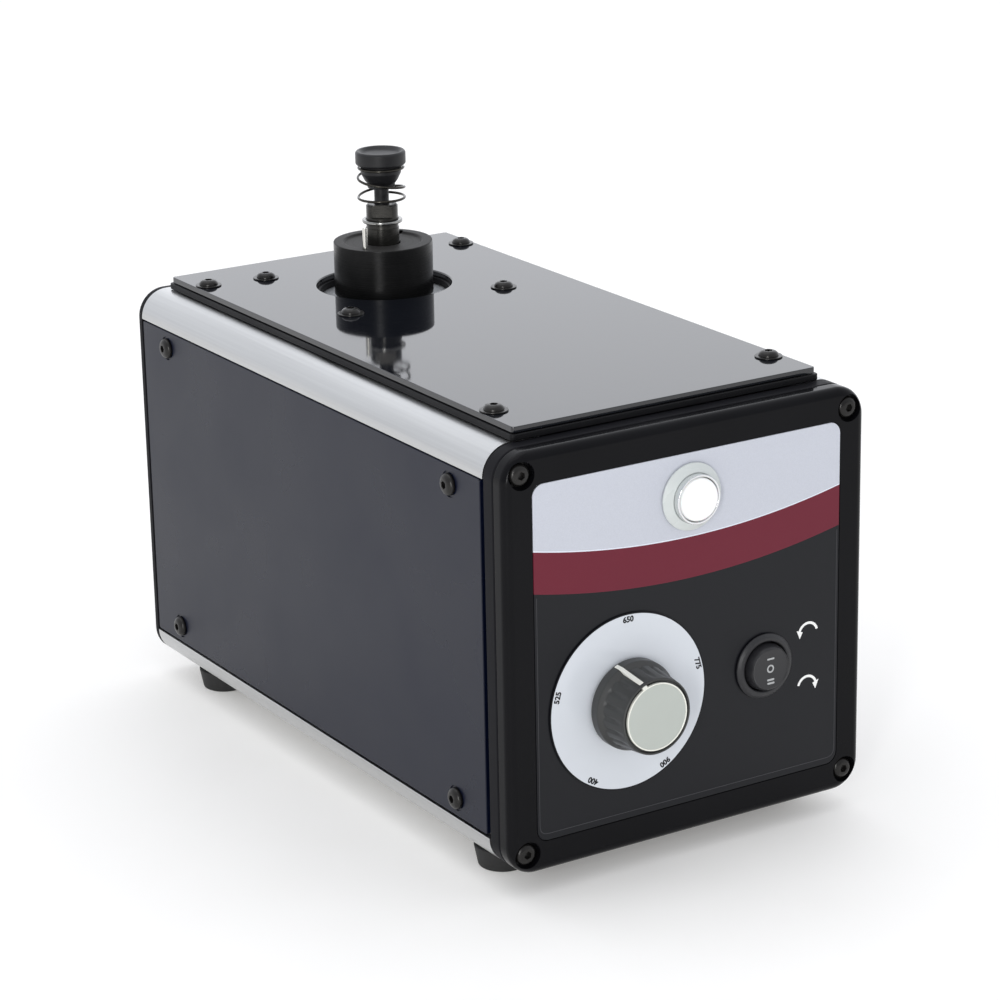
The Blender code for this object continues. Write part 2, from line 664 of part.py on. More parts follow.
def make_rear_fittings(datum):
    """The mains inlet with its open socket, and the fuse holder beside it."""
    body = flat("inlet_body", [rounded_box(INLET_BODY[0] / 2, INLET_BODY[1] / 2, 0.0008, steps=2)], INLET_DEPTH)
    outline = rounded_box(INLET_FLANGE[0] / 2, INLET_FLANGE[1] / 2, 0.0025, steps=4)
    inlet = flat("mains_inlet", [outline], INLET_FLANGE_T, "knob_black")
    back = BODY_D + GAP
    place(inlet, datum, (INLET_AT[0], back + INLET_FLANGE_T / 2, INLET_AT[1]), OUT_OF_FRONT)
    overlap = 0.001
    place(body, datum, (INLET_AT[0], back + overlap - INLET_DEPTH / 2, INLET_AT[1]), OUT_OF_FRONT)
    join(inlet, body, "UNION")
    hollow = flat("inlet_socket", [rounded_box(SOCKET[0] / 2, SOCKET[1] / 2, 0.002, steps=3)], 2 * SOCKET_DEPTH_IN)
    place(hollow, datum, (INLET_AT[0], back + INLET_FLANGE_T, INLET_AT[1]), OUT_OF_FRONT)
    join(inlet, hollow)
    reach = REAR_REACH
    profile = [
        (0, reach),
        (FUSE_CAP_R - 0.0012, reach),
        (FUSE_CAP_R - 0.0006, reach - 0.0006),
        (FUSE_CAP_R, GAP + 0.002),
        (FUSE_CAP_R, GAP),
        (FUSE_R, GAP),
        (FUSE_R, -FUSE_DEPTH),
        (0, -FUSE_DEPTH),
    ]
    fuse = turned("fuse_holder", profile, "knob_black", FINE_STEPS)
    place(fuse, datum, (FUSE_AT[0], BODY_D, FUSE_AT[1]), (-math.pi / 2, 0, 0))


def make_motor(datum):
    """The motor: a flange under the plate, a can hung from it and a bearing at each end."""
    middle = (0, sum(MOTOR_SCREW_YS) / 2)
    screws = [(sx * MOTOR_SCREW_X, y) for sx in (-1, 1) for y in MOTOR_SCREW_YS]
    lines = [rounded_box(FLANGE_HALF, FLANGE_HALF, 0.008, middle)]
    lines.append(circle((0, HUB_Y), UPPER_BEARING_R + GAP, ROUND_STEPS))
    lines += [circle(at, SCREW_HOLE_R) for at in screws]
    flange = flat("motor_flange", lines, FLANGE_T, "cast_grey")
    place(flange, datum, (0, 0, FLANGE_TOP - FLANGE_T / 2))
    inner_r = MOTOR_R - MOTOR_WALL
    floor = MOTOR_BOTTOM + MOTOR_FLOOR
    top = FLANGE_TOP - FLANGE_T - GAP
    seat_r = LOWER_BEARING_R + GAP
    seat_top = floor + LOWER_BEARING_H + GAP
    can = [
        (0, floor),
        (seat_r, floor),
        (seat_r, seat_top),
        (seat_r + 0.003, seat_top),
        (seat_r + 0.003, floor),
        (inner_r, floor),
        (inner_r, top),
        (MOTOR_R, top),
        (MOTOR_R, MOTOR_BOTTOM),
        (0, MOTOR_BOTTOM),
    ]
    place(turned("motor_housing", can, "cast_grey"), datum, (0, HUB_Y, 0))
    upper_mid = FLANGE_TOP - FLANGE_T / 2
    upper = ring_section(SHAFT_R + GAP, UPPER_BEARING_R, upper_mid, UPPER_BEARING_H)
    place(turned("upper_bearing", upper, "bright_steel", FINE_STEPS, ring=True), datum, (0, HUB_Y, 0))
    lower_mid = floor + GAP + LOWER_BEARING_H / 2
    lower = ring_section(SHAFT_TAIL_R + GAP, LOWER_BEARING_R, lower_mid, LOWER_BEARING_H)
    place(turned("lower_bearing", lower, "bright_steel", FINE_STEPS, ring=True), datum, (0, HUB_Y, 0))


def ring_section(inner, outer, middle, height):
    """The closed section of a plain ring, outer side first and downwards."""
    top = middle + height / 2
    bottom = middle - height / 2
    return [(outer, top), (outer, bottom), (inner, bottom), (inner, top)]


def make_spindle(axis):
    """What turns: rotor, shaft, hub with its drive pin, and the ring that keeps the disc's seat."""
    rotor_mid = sum(ROTOR_SPAN) / 2 - PLATE_TOP
    rotor = ring_section(SHAFT_R + GAP, ROTOR_R, rotor_mid, ROTOR_SPAN[1] - ROTOR_SPAN[0])
    place(turned("motor_rotor", rotor, "satin_steel", FINE_STEPS, ring=True), axis)
    tail_top = MOTOR_BOTTOM + MOTOR_FLOOR + LOWER_BEARING_H + 3 * GAP - PLATE_TOP
    tail_end = MOTOR_BOTTOM + MOTOR_FLOOR + GAP - PLATE_TOP
    edge = 0.0005
    shaft = [
        (0, SHAFT_BORE_BOTTOM),
        (SHAFT_BORE_R, SHAFT_BORE_BOTTOM),
        (SHAFT_BORE_R, SHAFT_TOP),
        (SHAFT_TOP_R - edge, SHAFT_TOP),
        (SHAFT_TOP_R, SHAFT_TOP - edge),
        (SHAFT_TOP_R, SHOULDER),
        (COLLAR_R, SHOULDER),
        (COLLAR_R, COLLAR_BOTTOM),
        (SHAFT_R, COLLAR_BOTTOM),
        (SHAFT_R, tail_top),
        (SHAFT_TAIL_R, tail_top),
        (SHAFT_TAIL_R, tail_end),
        (0, tail_end),
    ]
    place(turned("spindle_shaft", shaft, "blackened_steel", FINE_STEPS), axis)
    dish = HUB_TOP - HUB_DISH_D
    hub_section = [
        (SHAFT_R + GAP, dish),
        (HUB_DISH_R, dish),
        (HUB_DISH_R + 0.0002, HUB_TOP),
        (HUB_R - edge, HUB_TOP),
        (HUB_R, HUB_TOP - edge),
        (HUB_R, HUB_BOTTOM),
        (SHAFT_R + GAP, HUB_BOTTOM),
    ]
    hub = place(turned("drive_hub", hub_section, "blackened_steel", ring=True), axis)
    opposite = (-PIN_AT[0], -PIN_AT[1])
    hole_depth = PIN_DEPTH + GAP
    holes = [(x, y, HUB_TOP) for x, y in (PIN_AT, opposite)]
    join(hub, place(pegs("pin_holes", holes, PIN_R + GAP, 2 * hole_depth), axis))
    pin_top = HUB_TOP + PIN_PROUD
    pin_edge = 0.0003
    pin = [
        (0, pin_top),
        (PIN_R - pin_edge, pin_top),
        (PIN_R, pin_top - pin_edge),
        (PIN_R, HUB_TOP - PIN_DEPTH),
        (0, HUB_TOP - PIN_DEPTH),
    ]
    place(turned("drive_pin", pin, "bright_steel", SMALL_STEPS), axis, (*PIN_AT, 0))
    ring = ring_section(SHAFT_TOP_R + GAP, RING_R, SHOULDER + GAP + RING_T / 2, RING_T)
    place(turned("retaining_ring", ring, "bright_steel", FINE_STEPS, ring=True), axis)


def make_hold_down(axis):
    """The knob on a stem that slides in the shaft, and the spring that hangs from it to press a disc."""
    profile = [
        (0, KNOB_TOP - 0.0014),
        (KNOB_R - 0.0018, KNOB_TOP - 0.0013),
        (KNOB_R - 0.0010, KNOB_TOP),
        (KNOB_R - 0.0003, KNOB_TOP - 0.0001),
        (KNOB_R, KNOB_TOP - 0.0008),
        (KNOB_R, KNOB_STEP + 0.0007),
        (KNOB_R - 0.0007, KNOB_STEP),
        (KNOB_NECK_R, KNOB_STEP),
        (KNOB_NECK_R, KNOB_STEP - 0.0028),
        (KNOB_NECK_R - 0.0013, KNOB_STEP - 0.0055),
        (KNOB_ROOT_R, KNOB_STEP - 0.0069),
        (KNOB_ROOT_R, KNOB_BOTTOM),
        (STEM_R, KNOB_BOTTOM),
        (STEM_R, STEM_BOTTOM),
        (0, STEM_BOTTOM),
    ]
    place(turned("hold_down_knob", profile, "knob_black"), axis)
    place(make_spring(), axis)


def make_spring():
    """An open coil of black wire: its top turn grips the knob's neck under the step and its last hangs flat."""
    curve = bpy.data.curves.new("hold_down_spring", "CURVE")
    curve.dimensions = "3D"
    curve.bevel_depth = SPRING_WIRE_R
    curve.bevel_resolution = 2
    curve.use_fill_caps = True
    count = round((SPRING_GRIP_TURNS + SPRING_FALL_TURNS + SPRING_FLAT_TURNS) * SPRING_POINTS_A_TURN)
    spline = curve.splines.new("POLY")
    spline.points.add(count)
    for i, point in enumerate(spline.points):
        turn = i / SPRING_POINTS_A_TURN - SPRING_GRIP_TURNS
        fall = min(max(turn / SPRING_FALL_TURNS, 0), 1)
        spread = min(max(turn + 0.5, 0), 1)
        radius = SPRING_GRIP_R + (SPRING_R - SPRING_GRIP_R) * spread
        angle = SPRING_START + 2 * math.pi * turn
        height = SPRING_TOP + (SPRING_BOTTOM - SPRING_TOP) * fall
        point.co = (radius * math.cos(angle), radius * math.sin(angle), height, 1)
    obj = bpy.data.objects.new("hold_down_spring", curve)
    PARTS.objects.link(obj)
    curve.materials.append(FINISHES["knob_black"])
    return obj


def make_labels(datum):
    """The printed front label in its pocket, and the round dial plate on it."""
    lines = [rounded_box(LABEL_HALF_W, LABEL_HALF_H, LABEL_R)] + control_holes()
    place(flat("front_label", lines, LABEL_T, "label_print"), datum, (0, LABEL_T / 2, 0), OUT_OF_FRONT)
    dial = [circle((0, 0), DIAL_R, ROUND_STEPS), circle((0, 0), SPEED_HOLE_R)]
    spot = (SPEED_AT[0], -GAP - DIAL_T / 2, SPEED_AT[1])
    place(flat("dial_plate", dial, DIAL_T, "dial_white"), datum, spot, OUT_OF_FRONT)


def make_speed_control(axis):
    """The speed knob with its inlaid cap, on the shaft of the potentiometer behind the panel."""
    behind = BEZEL_D + FRONT_PLATE_D + 2 * GAP
    cap_floor = KNOB_FRONT - CAP_T - GAP
    knob = [
        (0, cap_floor),
        (CAP_R + GAP, cap_floor),
        (CAP_R + GAP, KNOB_FRONT - GAP),
        (KNOB_RIM_R - 0.0004, KNOB_FRONT - GAP),
        (KNOB_RIM_R, KNOB_FRONT - 0.0010),
        (KNOB_BODY_R, KNOB_BODY_BACK),
        (SKIRT_R - 0.0003, SKIRT_FRONT),
        (SKIRT_R, SKIRT_FRONT - 0.0006),
        (SKIRT_R, SKIRT_BACK),
        (SPEED_SHAFT_R + GAP, SKIRT_BACK),
        (SPEED_SHAFT_R + GAP, SPEED_SHAFT_TIP + GAP),
        (0, SPEED_SHAFT_TIP + GAP),
    ]
    place(turned("speed_knob", knob, "knob_black"), axis)
    cap_edge = 0.0003
    cap = [
        (0, KNOB_FRONT),
        (CAP_R - cap_edge, KNOB_FRONT),
        (CAP_R, KNOB_FRONT - cap_edge),
        (CAP_R, KNOB_FRONT - CAP_T),
        (0, KNOB_FRONT - CAP_T),
    ]
    place(turned("speed_knob_cap", cap, "cap_silver"), axis)
    bush_front = -BEZEL_D + GAP
    potentiometer = [
        (0, SPEED_SHAFT_TIP),
        (SPEED_SHAFT_R, SPEED_SHAFT_TIP),
        (SPEED_SHAFT_R, bush_front),
        (SPEED_HOLE_R - GAP, bush_front),
        (SPEED_HOLE_R - GAP, -behind),
        (POTENTIOMETER_R, -behind),
        (POTENTIOMETER_R, -behind - POTENTIOMETER_D),
        (0, -behind - POTENTIOMETER_D),
    ]
    place(turned("speed_potentiometer", potentiometer, "satin_steel", FINE_STEPS), axis)


def make_switch(axis):
    """A round rocker switch: its cup, and a rocker whose rim is part of a ball about the pivot."""
    edge = 0.0006
    housing = [
        (0, -SWITCH_CUP_D),
        (SWITCH_CUP_R, -SWITCH_CUP_D),
        (SWITCH_CUP_R, SWITCH_FRONT),
        (SWITCH_R - edge, SWITCH_FRONT),
        (SWITCH_R, SWITCH_FRONT - edge),
        (SWITCH_R, GAP),
        (SWITCH_HOLE_R - GAP, GAP),
        (SWITCH_HOLE_R - GAP, -SWITCH_TAIL),
        (0, -SWITCH_TAIL),
    ]
    place(turned("switch_housing", housing, "knob_black"), axis)
    front = ROCKER_FRONT - ROCKER_PIVOT
    first = math.degrees(math.asin(front / ROCKER_R))
    last = -math.degrees(math.asin(ROCKER_BACK / ROCKER_R))
    rocker = [(0, front)] + arc((0, 0), ROCKER_R, first, last, 8) + [(0, -ROCKER_BACK)]
    place(turned("switch_rocker", rocker, "knob_black"), axis, (0, 0, ROCKER_PIVOT))


def make_button(axis):
    """The push button: a body with a sloped ring and a collar, and the white lens that travels in it."""
    edge = 0.0006
    housing = [
        (0, -BUTTON_CUP_D),
        (BUTTON_CUP_R, -BUTTON_CUP_D),
        (BUTTON_CUP_R, COLLAR_FRONT),
        (COLLAR_OUT_R, COLLAR_FRONT),
        (COLLAR_OUT_R, 0.0029),
        (BUTTON_R, 2 * edge),
        (BUTTON_R, GAP),
        (BUTTON_HOLE_R - GAP, GAP),
        (BUTTON_HOLE_R - GAP, -BUTTON_TAIL),
        (0, -BUTTON_TAIL),
    ]
    place(turned("button_housing", housing, "bezel_ivory"), axis)
    lens = [
        (0, LENS_FRONT),
        (LENS_R - 0.0015, LENS_FRONT - 0.0003),
        (LENS_R - 0.0004, LENS_FRONT - 0.0011),
        (LENS_R, LENS_FRONT - 0.0023),
        (LENS_R, -LENS_BACK),
        (0, -LENS_BACK),
    ]
    place(turned("button_lens", lens, "lens_white"), axis)


def make_grinder():
    datum = empty("body_datum", None, (0, FRONT_Y, MID_Z))
    make_front_bezel(datum)
    make_front_plate(datum)
    make_rear_panel(datum)
    make_rails(datum)
    make_side_panels(datum)
    make_top(datum)
    make_base(datum)
    make_feet(datum)
    make_screws(datum)
    make_electrics(datum)
    make_rear_fittings(datum)
    make_motor(datum)
    make_labels(datum)
    spindle_axis = empty("spindle_axis", datum, (0, HUB_Y, PLATE_TOP))
    make_spindle(spindle_axis)
    make_hold_down(spindle_axis)
    controls = ((SPEED_AT, make_speed_control), (SWITCH_AT, make_switch), (BUTTON_AT, make_button))
    for (x, z), make in controls:
        make(empty(make.__name__ + "_axis", datum, (x, 0, z), OUT_OF_FRONT))


clear_scene()
PARTS = new_collection("glass_grinder")
CUTTERS = new_collection("cutters")
FINISHES = make_finishes()
make_grinder()
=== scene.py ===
"""The looks of a bench glass grinder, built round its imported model.

Lengths are metres and +Z is up. A piece is drawn in its own plane, with +Z out of the face that it
sits on, and set in place with a Facing. Every finished object stands at the origin, unturned.
"""

import logging
import math
from collections.abc import Callable, Sequence
from dataclasses import dataclass
from enum import Enum

import bmesh
import bpy
import numpy as np
from mathutils import Matrix, Vector


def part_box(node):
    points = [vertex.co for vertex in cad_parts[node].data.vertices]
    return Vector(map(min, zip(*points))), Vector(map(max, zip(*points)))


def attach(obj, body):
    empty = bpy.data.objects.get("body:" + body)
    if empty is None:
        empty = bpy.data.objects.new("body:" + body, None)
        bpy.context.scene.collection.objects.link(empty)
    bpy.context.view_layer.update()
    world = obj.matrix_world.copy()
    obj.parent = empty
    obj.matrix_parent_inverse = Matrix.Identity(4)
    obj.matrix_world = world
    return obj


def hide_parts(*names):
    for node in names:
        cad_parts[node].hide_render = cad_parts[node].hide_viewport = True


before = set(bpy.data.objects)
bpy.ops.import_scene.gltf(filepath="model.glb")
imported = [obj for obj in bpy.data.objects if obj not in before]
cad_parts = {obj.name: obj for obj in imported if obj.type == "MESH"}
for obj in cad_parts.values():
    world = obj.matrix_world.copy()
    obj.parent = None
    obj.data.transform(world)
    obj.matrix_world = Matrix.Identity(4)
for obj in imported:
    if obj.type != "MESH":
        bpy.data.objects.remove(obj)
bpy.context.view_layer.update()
LOG = logging.getLogger("grinder")
MM = 0.001


class Facing(Enum):
    """Which way a piece's own +Z points. Each value holds the images of its x, y and z axes."""

    UP = ((1, 0, 0), (0, 1, 0), (0, 0, 1))
    DOWN = ((1, 0, 0), (0, -1, 0), (0, 0, -1))
    FRONT = ((1, 0, 0), (0, 0, 1), (0, -1, 0))
    REAR = ((-1, 0, 0), (0, 0, 1), (0, 1, 0))
    RIGHT = ((0, 1, 0), (0, 0, 1), (1, 0, 0))
    LEFT = ((0, -1, 0), (0, 0, 1), (-1, 0, 0))


class Body(Enum):
    """The moving groups of the machine."""

    CHASSIS = "chassis"
    SPINDLE = "spindle"
    HOLD_DOWN = "hold_down"
    SPEED_DIAL = "speed_dial"
    ROCKER = "rocker"
    BUTTON = "button"


# ---------------------------------------------------------------- surfaces


@dataclass
class Surface:
    """A mesh in arrays: points of shape (n, 3) and faces as index tuples."""

    points: np.ndarray
    faces: list[tuple[int, ...]]

    def placed(self, facing: Facing, origin: Sequence[float], spin: float = 0.0) -> "Surface":
        """The surface turned about its own z, faced and moved.

        Args:
            facing: where its z axis points.
            origin: where its own origin goes.
            spin: turn about its own z first, in degrees.

        Returns:
            A new surface. Each point p becomes origin + p spun, times the facing's axes.
        """
        angle = math.radians(spin)
        turn = np.array(
            [[math.cos(angle), math.sin(angle), 0], [-math.sin(angle), math.cos(angle), 0], [0, 0, 1]]
        )
        axes = np.array(facing.value, float)
        return Surface(self.points @ turn @ axes + np.array(origin, float), self.faces)

    def joined(self, *others: "Surface") -> "Surface":
        """This surface and others as one, with their points one after another.

        Args:
            others: the surfaces to add.

        Returns:
            The joined surface.
        """
        points = [self.points]
        faces = list(self.faces)
        for other in others:
            start = sum(len(part) for part in points)
            points.append(other.points)
            faces += [tuple(start + index for index in face) for face in other.faces]
        return Surface(np.concatenate(points), faces)

    def moved(self, x: float, y: float, z: float = 0.0) -> "Surface":
        """The surface shifted by x, y and z."""
        return Surface(self.points + np.array((x, y, z), float), self.faces)


def filleted(corners: Sequence[Sequence[float]], radius: float, steps: int = 4, loop: bool = False) -> np.ndarray:
    """Rounds the corners of a line.

    Each corner p becomes the parabola (1-t)(1-t)a + 2t(1-t)p + t t b, where a and b lie a radius away
    along its two sides, or at most half way along them.

    Args:
        corners: the corner points, (x, y) each.
        radius: how far from a corner its rounding starts.
        steps: stretches in each rounding.
        loop: whether the line closes on itself. An open line keeps its two ends sharp.

    Returns:
        The rounded line, shape (n, 2), with no point twice in a row.
    """
    p = np.asarray(corners, float)
    reach = np.full(len(p), radius)
    if not loop:
        reach[[0, -1]] = 0
    t = np.linspace(0, 1, steps + 1)[None, :, None]
    ends = []
    for shift in (1, -1):
        side = np.roll(p, shift, axis=0) - p
        length = np.maximum(np.linalg.norm(side, axis=1), 1e-9)
        ends.append(p + side * (np.minimum(reach, length / 2) / length)[:, None])
    a, b = (end[:, None, :] for end in ends)
    curve = ((1 - t) ** 2 * a + 2 * t * (1 - t) * p[:, None, :] + t**2 * b).reshape(-1, 2)
    keep = np.ones(len(curve), bool)
    keep[1:] = np.linalg.norm(np.diff(curve, axis=0), axis=1) > 1e-7
    return curve[keep]


def grid_faces(rows: int, columns: int, wrap_rows: bool = False) -> list[tuple[int, ...]]:
    """Quads over a grid of points that closes on itself along its columns.

    Args:
        rows: rows of points.
        columns: points in a row.
        wrap_rows: whether the last row joins the first.

    Returns:
        Faces that look outwards when rows run down and columns run anticlockwise.
    """
    i = np.arange(rows if wrap_rows else rows - 1)[:, None]
    j = np.arange(columns)[None, :]
    below = (i + 1) % rows
    beside = (j + 1) % columns
    quads = np.stack(
        [i * columns + j, below * columns + j, below * columns + beside, i * columns + beside], axis=-1
    )
    return [tuple(quad) for quad in quads.reshape(-1, 4).tolist()]


def revolved(
    profile: np.ndarray,
    steps: int = 96,
    ring: bool = False,
    ripple: Callable[[np.ndarray, np.ndarray], np.ndarray] | None = None,
) -> Surface:
    """A profile turned about z: x = r k cos a, y = r k sin a, z = h.

    Args:
        profile: (r, h) points, down the outer side.
        steps: points round the circle.
        ring: whether the profile is a closed section.
        ripple: gives the factor k for radii and heights of shape (n, 1) and angles of shape (1, m).

    Returns:
        The turned surface.
    """
    angle = np.linspace(0, 2 * np.pi, steps, endpoint=False)[None, :]
    radius, height = profile[:, :1], profile[:, 1:]
    reach = radius * (ripple(profile, angle) if ripple else np.ones_like(angle))
    points = np.stack([reach * np.cos(angle), reach * np.sin(angle), height + 0 * angle], axis=-1)
    return Surface(points.reshape(-1, 3), grid_faces(len(profile), steps, ring))


def round_box(half_w: float, half_h: float, radius: float, steps: int = 12) -> np.ndarray:
    """A rectangle's outline with round corners, anticlockwise.

    Each corner's points are its centre + radius (cos a, sin a), over a quarter turn.

    Args:
        half_w: half its width.
        half_h: half its height.
        radius: its corner radius.
        steps: stretches in each corner.

    Returns:
        The outline, shape (n, 2).
    """
    signs = np.array([[1, 1], [-1, 1], [-1, -1], [1, -1]], float)
    centres = signs * (half_w - radius, half_h - radius)
    angle = np.arange(4)[:, None] * np.pi / 2 + np.linspace(0, np.pi / 2, steps + 1)[None, :]
    return (centres[:, None, :] + radius * np.stack([np.cos(angle), np.sin(angle)], axis=-1)).reshape(-1, 2)


def stacked(outlines: Sequence[np.ndarray], heights: Sequence[float]) -> Surface:
    """Outlines of equal length one under another, closed with a flat face at the top and the foot.

    Args:
        outlines: each (n, 2), anticlockwise, from the top down.
        heights: each outline's z.

    Returns:
        The closed surface.
    """
    rows, columns = len(outlines), len(outlines[0])
    level = np.repeat(np.array(heights, float)[:, None], columns, axis=1)
    points = np.concatenate([np.stack(outlines), level[..., None]], axis=-1).reshape(-1, 3)
    top = tuple(range(columns))
    foot = tuple(reversed(range((rows - 1) * columns, rows * columns)))
    return Surface(points, grid_faces(rows, columns) + [top, foot])


def slab(size: Sequence[float], radius: float, top_edge: float, foot_edge: float, steps: int = 6) -> Surface:
    """A round-cornered plate whose edges are quarter rounds: inset e(1 - cos a), height e(1 - sin a) below.

    Args:
        size: its width, height and thickness. The foot lies at z = 0.
        radius: its corner radius.
        top_edge: the rounding of its upper edge.
        foot_edge: the rounding of its lower edge.
        steps: stretches in each rounding.

    Returns:
        The plate.
    """
    quarter = np.linspace(0, np.pi / 2, steps + 1)
    insets = np.concatenate([top_edge * (1 - np.sin(quarter)), foot_edge * (1 - np.cos(quarter))])
    heights = np.concatenate([size[2] - top_edge * (1 - np.cos(quarter)), foot_edge * (1 - np.sin(quarter))])
    outlines = [
        round_box(size[0] / 2 - inset, size[1] / 2 - inset, max(radius - inset, 1e-4)) for inset in insets
    ]
    return stacked(outlines, heights.tolist())


def extruded(outline: np.ndarray, low: float, high: float) -> Surface:
    """An anticlockwise outline as a straight-sided solid between two heights."""
    return stacked([outline, outline], [high, low])


def disc_outline(radius: float, steps: int = 48, at: Sequence[float] = (0, 0)) -> np.ndarray:
    """A circle's outline: at + radius (cos a, sin a)."""
    angle = np.linspace(0, 2 * np.pi, steps, endpoint=False)
    return np.array(at, float) + radius * np.stack([np.cos(angle), np.sin(angle)], axis=-1)


def drill(radius: float, low: float, high: float, at: Sequence[float] = (0, 0), steps: int = 48) -> Surface:
    """A cylinder between two heights, for cutting a round hole."""
    return extruded(disc_outline(radius, steps, at), low, high)


def middle_of(box: tuple[Vector, Vector]) -> tuple[float, float, float]:
    """The centre of a box, half the sum of its low and high corners."""
    low, high = box
    return (low.x + high.x) / 2, (low.y + high.y) / 2, (low.z + high.z) / 2


def mesh_of(name: str, surface: Surface) -> bpy.types.Mesh:
    """A mesh datablock of a surface, with points that coincide merged, as at a pole.

    Args:
        name: the mesh's name.
        surface: its points and faces.

    Returns:
        The new mesh.
    """
    mesh = bpy.data.meshes.new(name)
    mesh.from_pydata(surface.points.tolist(), [], surface.faces)
    work = bmesh.new()
    work.from_mesh(mesh)
    bmesh.ops.remove_doubles(work, verts=work.verts, dist=1e-7)
    bmesh.ops.dissolve_degenerate(work, edges=work.edges, dist=1e-8)
    work.to_mesh(mesh)
    work.free()
    return mesh


def evaluated(obj: bpy.types.Object) -> bpy.types.Mesh:
    """The mesh that an object's modifiers or curve make.

    Args:
        obj: the object, which stays as it is.

    Returns:
        A new mesh.
    """
    bpy.context.view_layer.update()
    graph = bpy.context.evaluated_depsgraph_get()
    return bpy.data.meshes.new_from_object(obj.evaluated_get(graph))


def surface_of(mesh: bpy.types.Mesh) -> Surface:
    """A mesh read back into arrays, and the mesh removed.

    Args:
        mesh: the mesh, which is removed.

    Returns:
        Its points and faces.
    """
    points = np.empty(len(mesh.vertices) * 3)
    mesh.vertices.foreach_get("co", points)
    faces = [tuple(polygon.vertices) for polygon in mesh.polygons]
    bpy.data.meshes.remove(mesh)
    return Surface(points.reshape(-1, 3), faces)


def worked(surface: Surface, cutters: Sequence[Surface] = (), edge: float = 0.0, edge_steps: int = 2) -> Surface:
    """A surface with cuts made in it and its sharp edges rounded.

    Args:
        surface: a closed surface.
        cutters: closed surfaces to take away.
        edge: the width of the rounding on edges sharper than 35 degrees.
        edge_steps: stretches in that rounding.

    Returns:
        The worked surface.
    """
    stock = bpy.data.objects.new("stock", mesh_of("stock", surface))
    bpy.context.scene.collection.objects.link(stock)
    tools = []
    for cutter in cutters:
        tool = bpy.data.objects.new("tool", mesh_of("tool", cutter))
        bpy.context.scene.collection.objects.link(tool)
        tools.append(tool)
        cut = stock.modifiers.new("cut", "BOOLEAN")
        cut.operation = "DIFFERENCE"
        cut.solver = "EXACT"
        cut.object = tool
    if edge > 0:
        soften = stock.modifiers.new("soften", "BEVEL")
        soften.width = edge
        soften.segments = edge_steps
        soften.limit_method = "ANGLE"
        soften.angle_limit = math.radians(35)
        soften.harden_normals = False
    result = surface_of(evaluated(stock))
    for obj in (*tools, stock):
        mesh = obj.data
        bpy.data.objects.remove(obj)
        bpy.data.meshes.remove(mesh)
    return result


def lettering(text: str, size: float, thickness: float) -> Surface:
    """Figures as a thin solid on z = 0, centred on the origin.

    Args:
        text: the figures.
        size: their height.
        thickness: how far they stand up.

    Returns:
        The solid.
    """
    curve = bpy.data.curves.new("figures", "FONT")
    curve.body = text
    curve.size = size * 1.4
    curve.align_x = "CENTER"
    curve.align_y = "CENTER"
    curve.extrude = thickness / 2
    curve.offset = size * 0.05
    curve.resolution_u = 3
    obj = bpy.data.objects.new("figures", curve)
    bpy.context.scene.collection.objects.link(obj)
    surface = surface_of(evaluated(obj))
    bpy.data.objects.remove(obj)
    bpy.data.curves.remove(curve)
    return surface.moved(0, 0, thickness / 2)


def make_piece(
    name: str,
    surface: Surface,
    finish: "Finish",
    body: Body,
    replaces: Sequence[str] = (),
    crease: float = 32.0,
) -> bpy.types.Object:
    """Makes a visible piece, shades it, dresses it and hangs it on its body.

    Args:
        name: the piece's name.
        surface: its shape, in place.
        finish: its material.
        body: the moving group that it rides on.
        replaces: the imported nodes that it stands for.
        crease: edges sharper than this many degrees stay sharp.

    Returns:
        The object.
    """
    mesh = mesh_of(name, surface)
    work = bmesh.new()
    work.from_mesh(mesh)
    bmesh.ops.recalc_face_normals(work, faces=work.faces)
    work.to_mesh(mesh)
    work.free()
    mesh.shade_smooth()
    mesh.set_sharp_from_angle(angle=math.radians(crease))
    mesh.materials.append(finish.material())
    obj = bpy.data.objects.new(name, mesh)
    bpy.context.scene.collection.objects.link(obj)
    weigh = obj.modifiers.new("weigh", "WEIGHTED_NORMAL")
    weigh.keep_sharp = True
    weigh.weight = 100
    even = evaluated(obj)
    obj.modifiers.clear()
    obj.data = even
    even.name = name
    bpy.data.meshes.remove(mesh)
    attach(obj, body.value)
    if replaces:
        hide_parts(*replaces)
    LOG.info("%s: %d faces, on %s", name, len(even.polygons), body.value)
    return obj


# ---------------------------------------------------------------- finishes


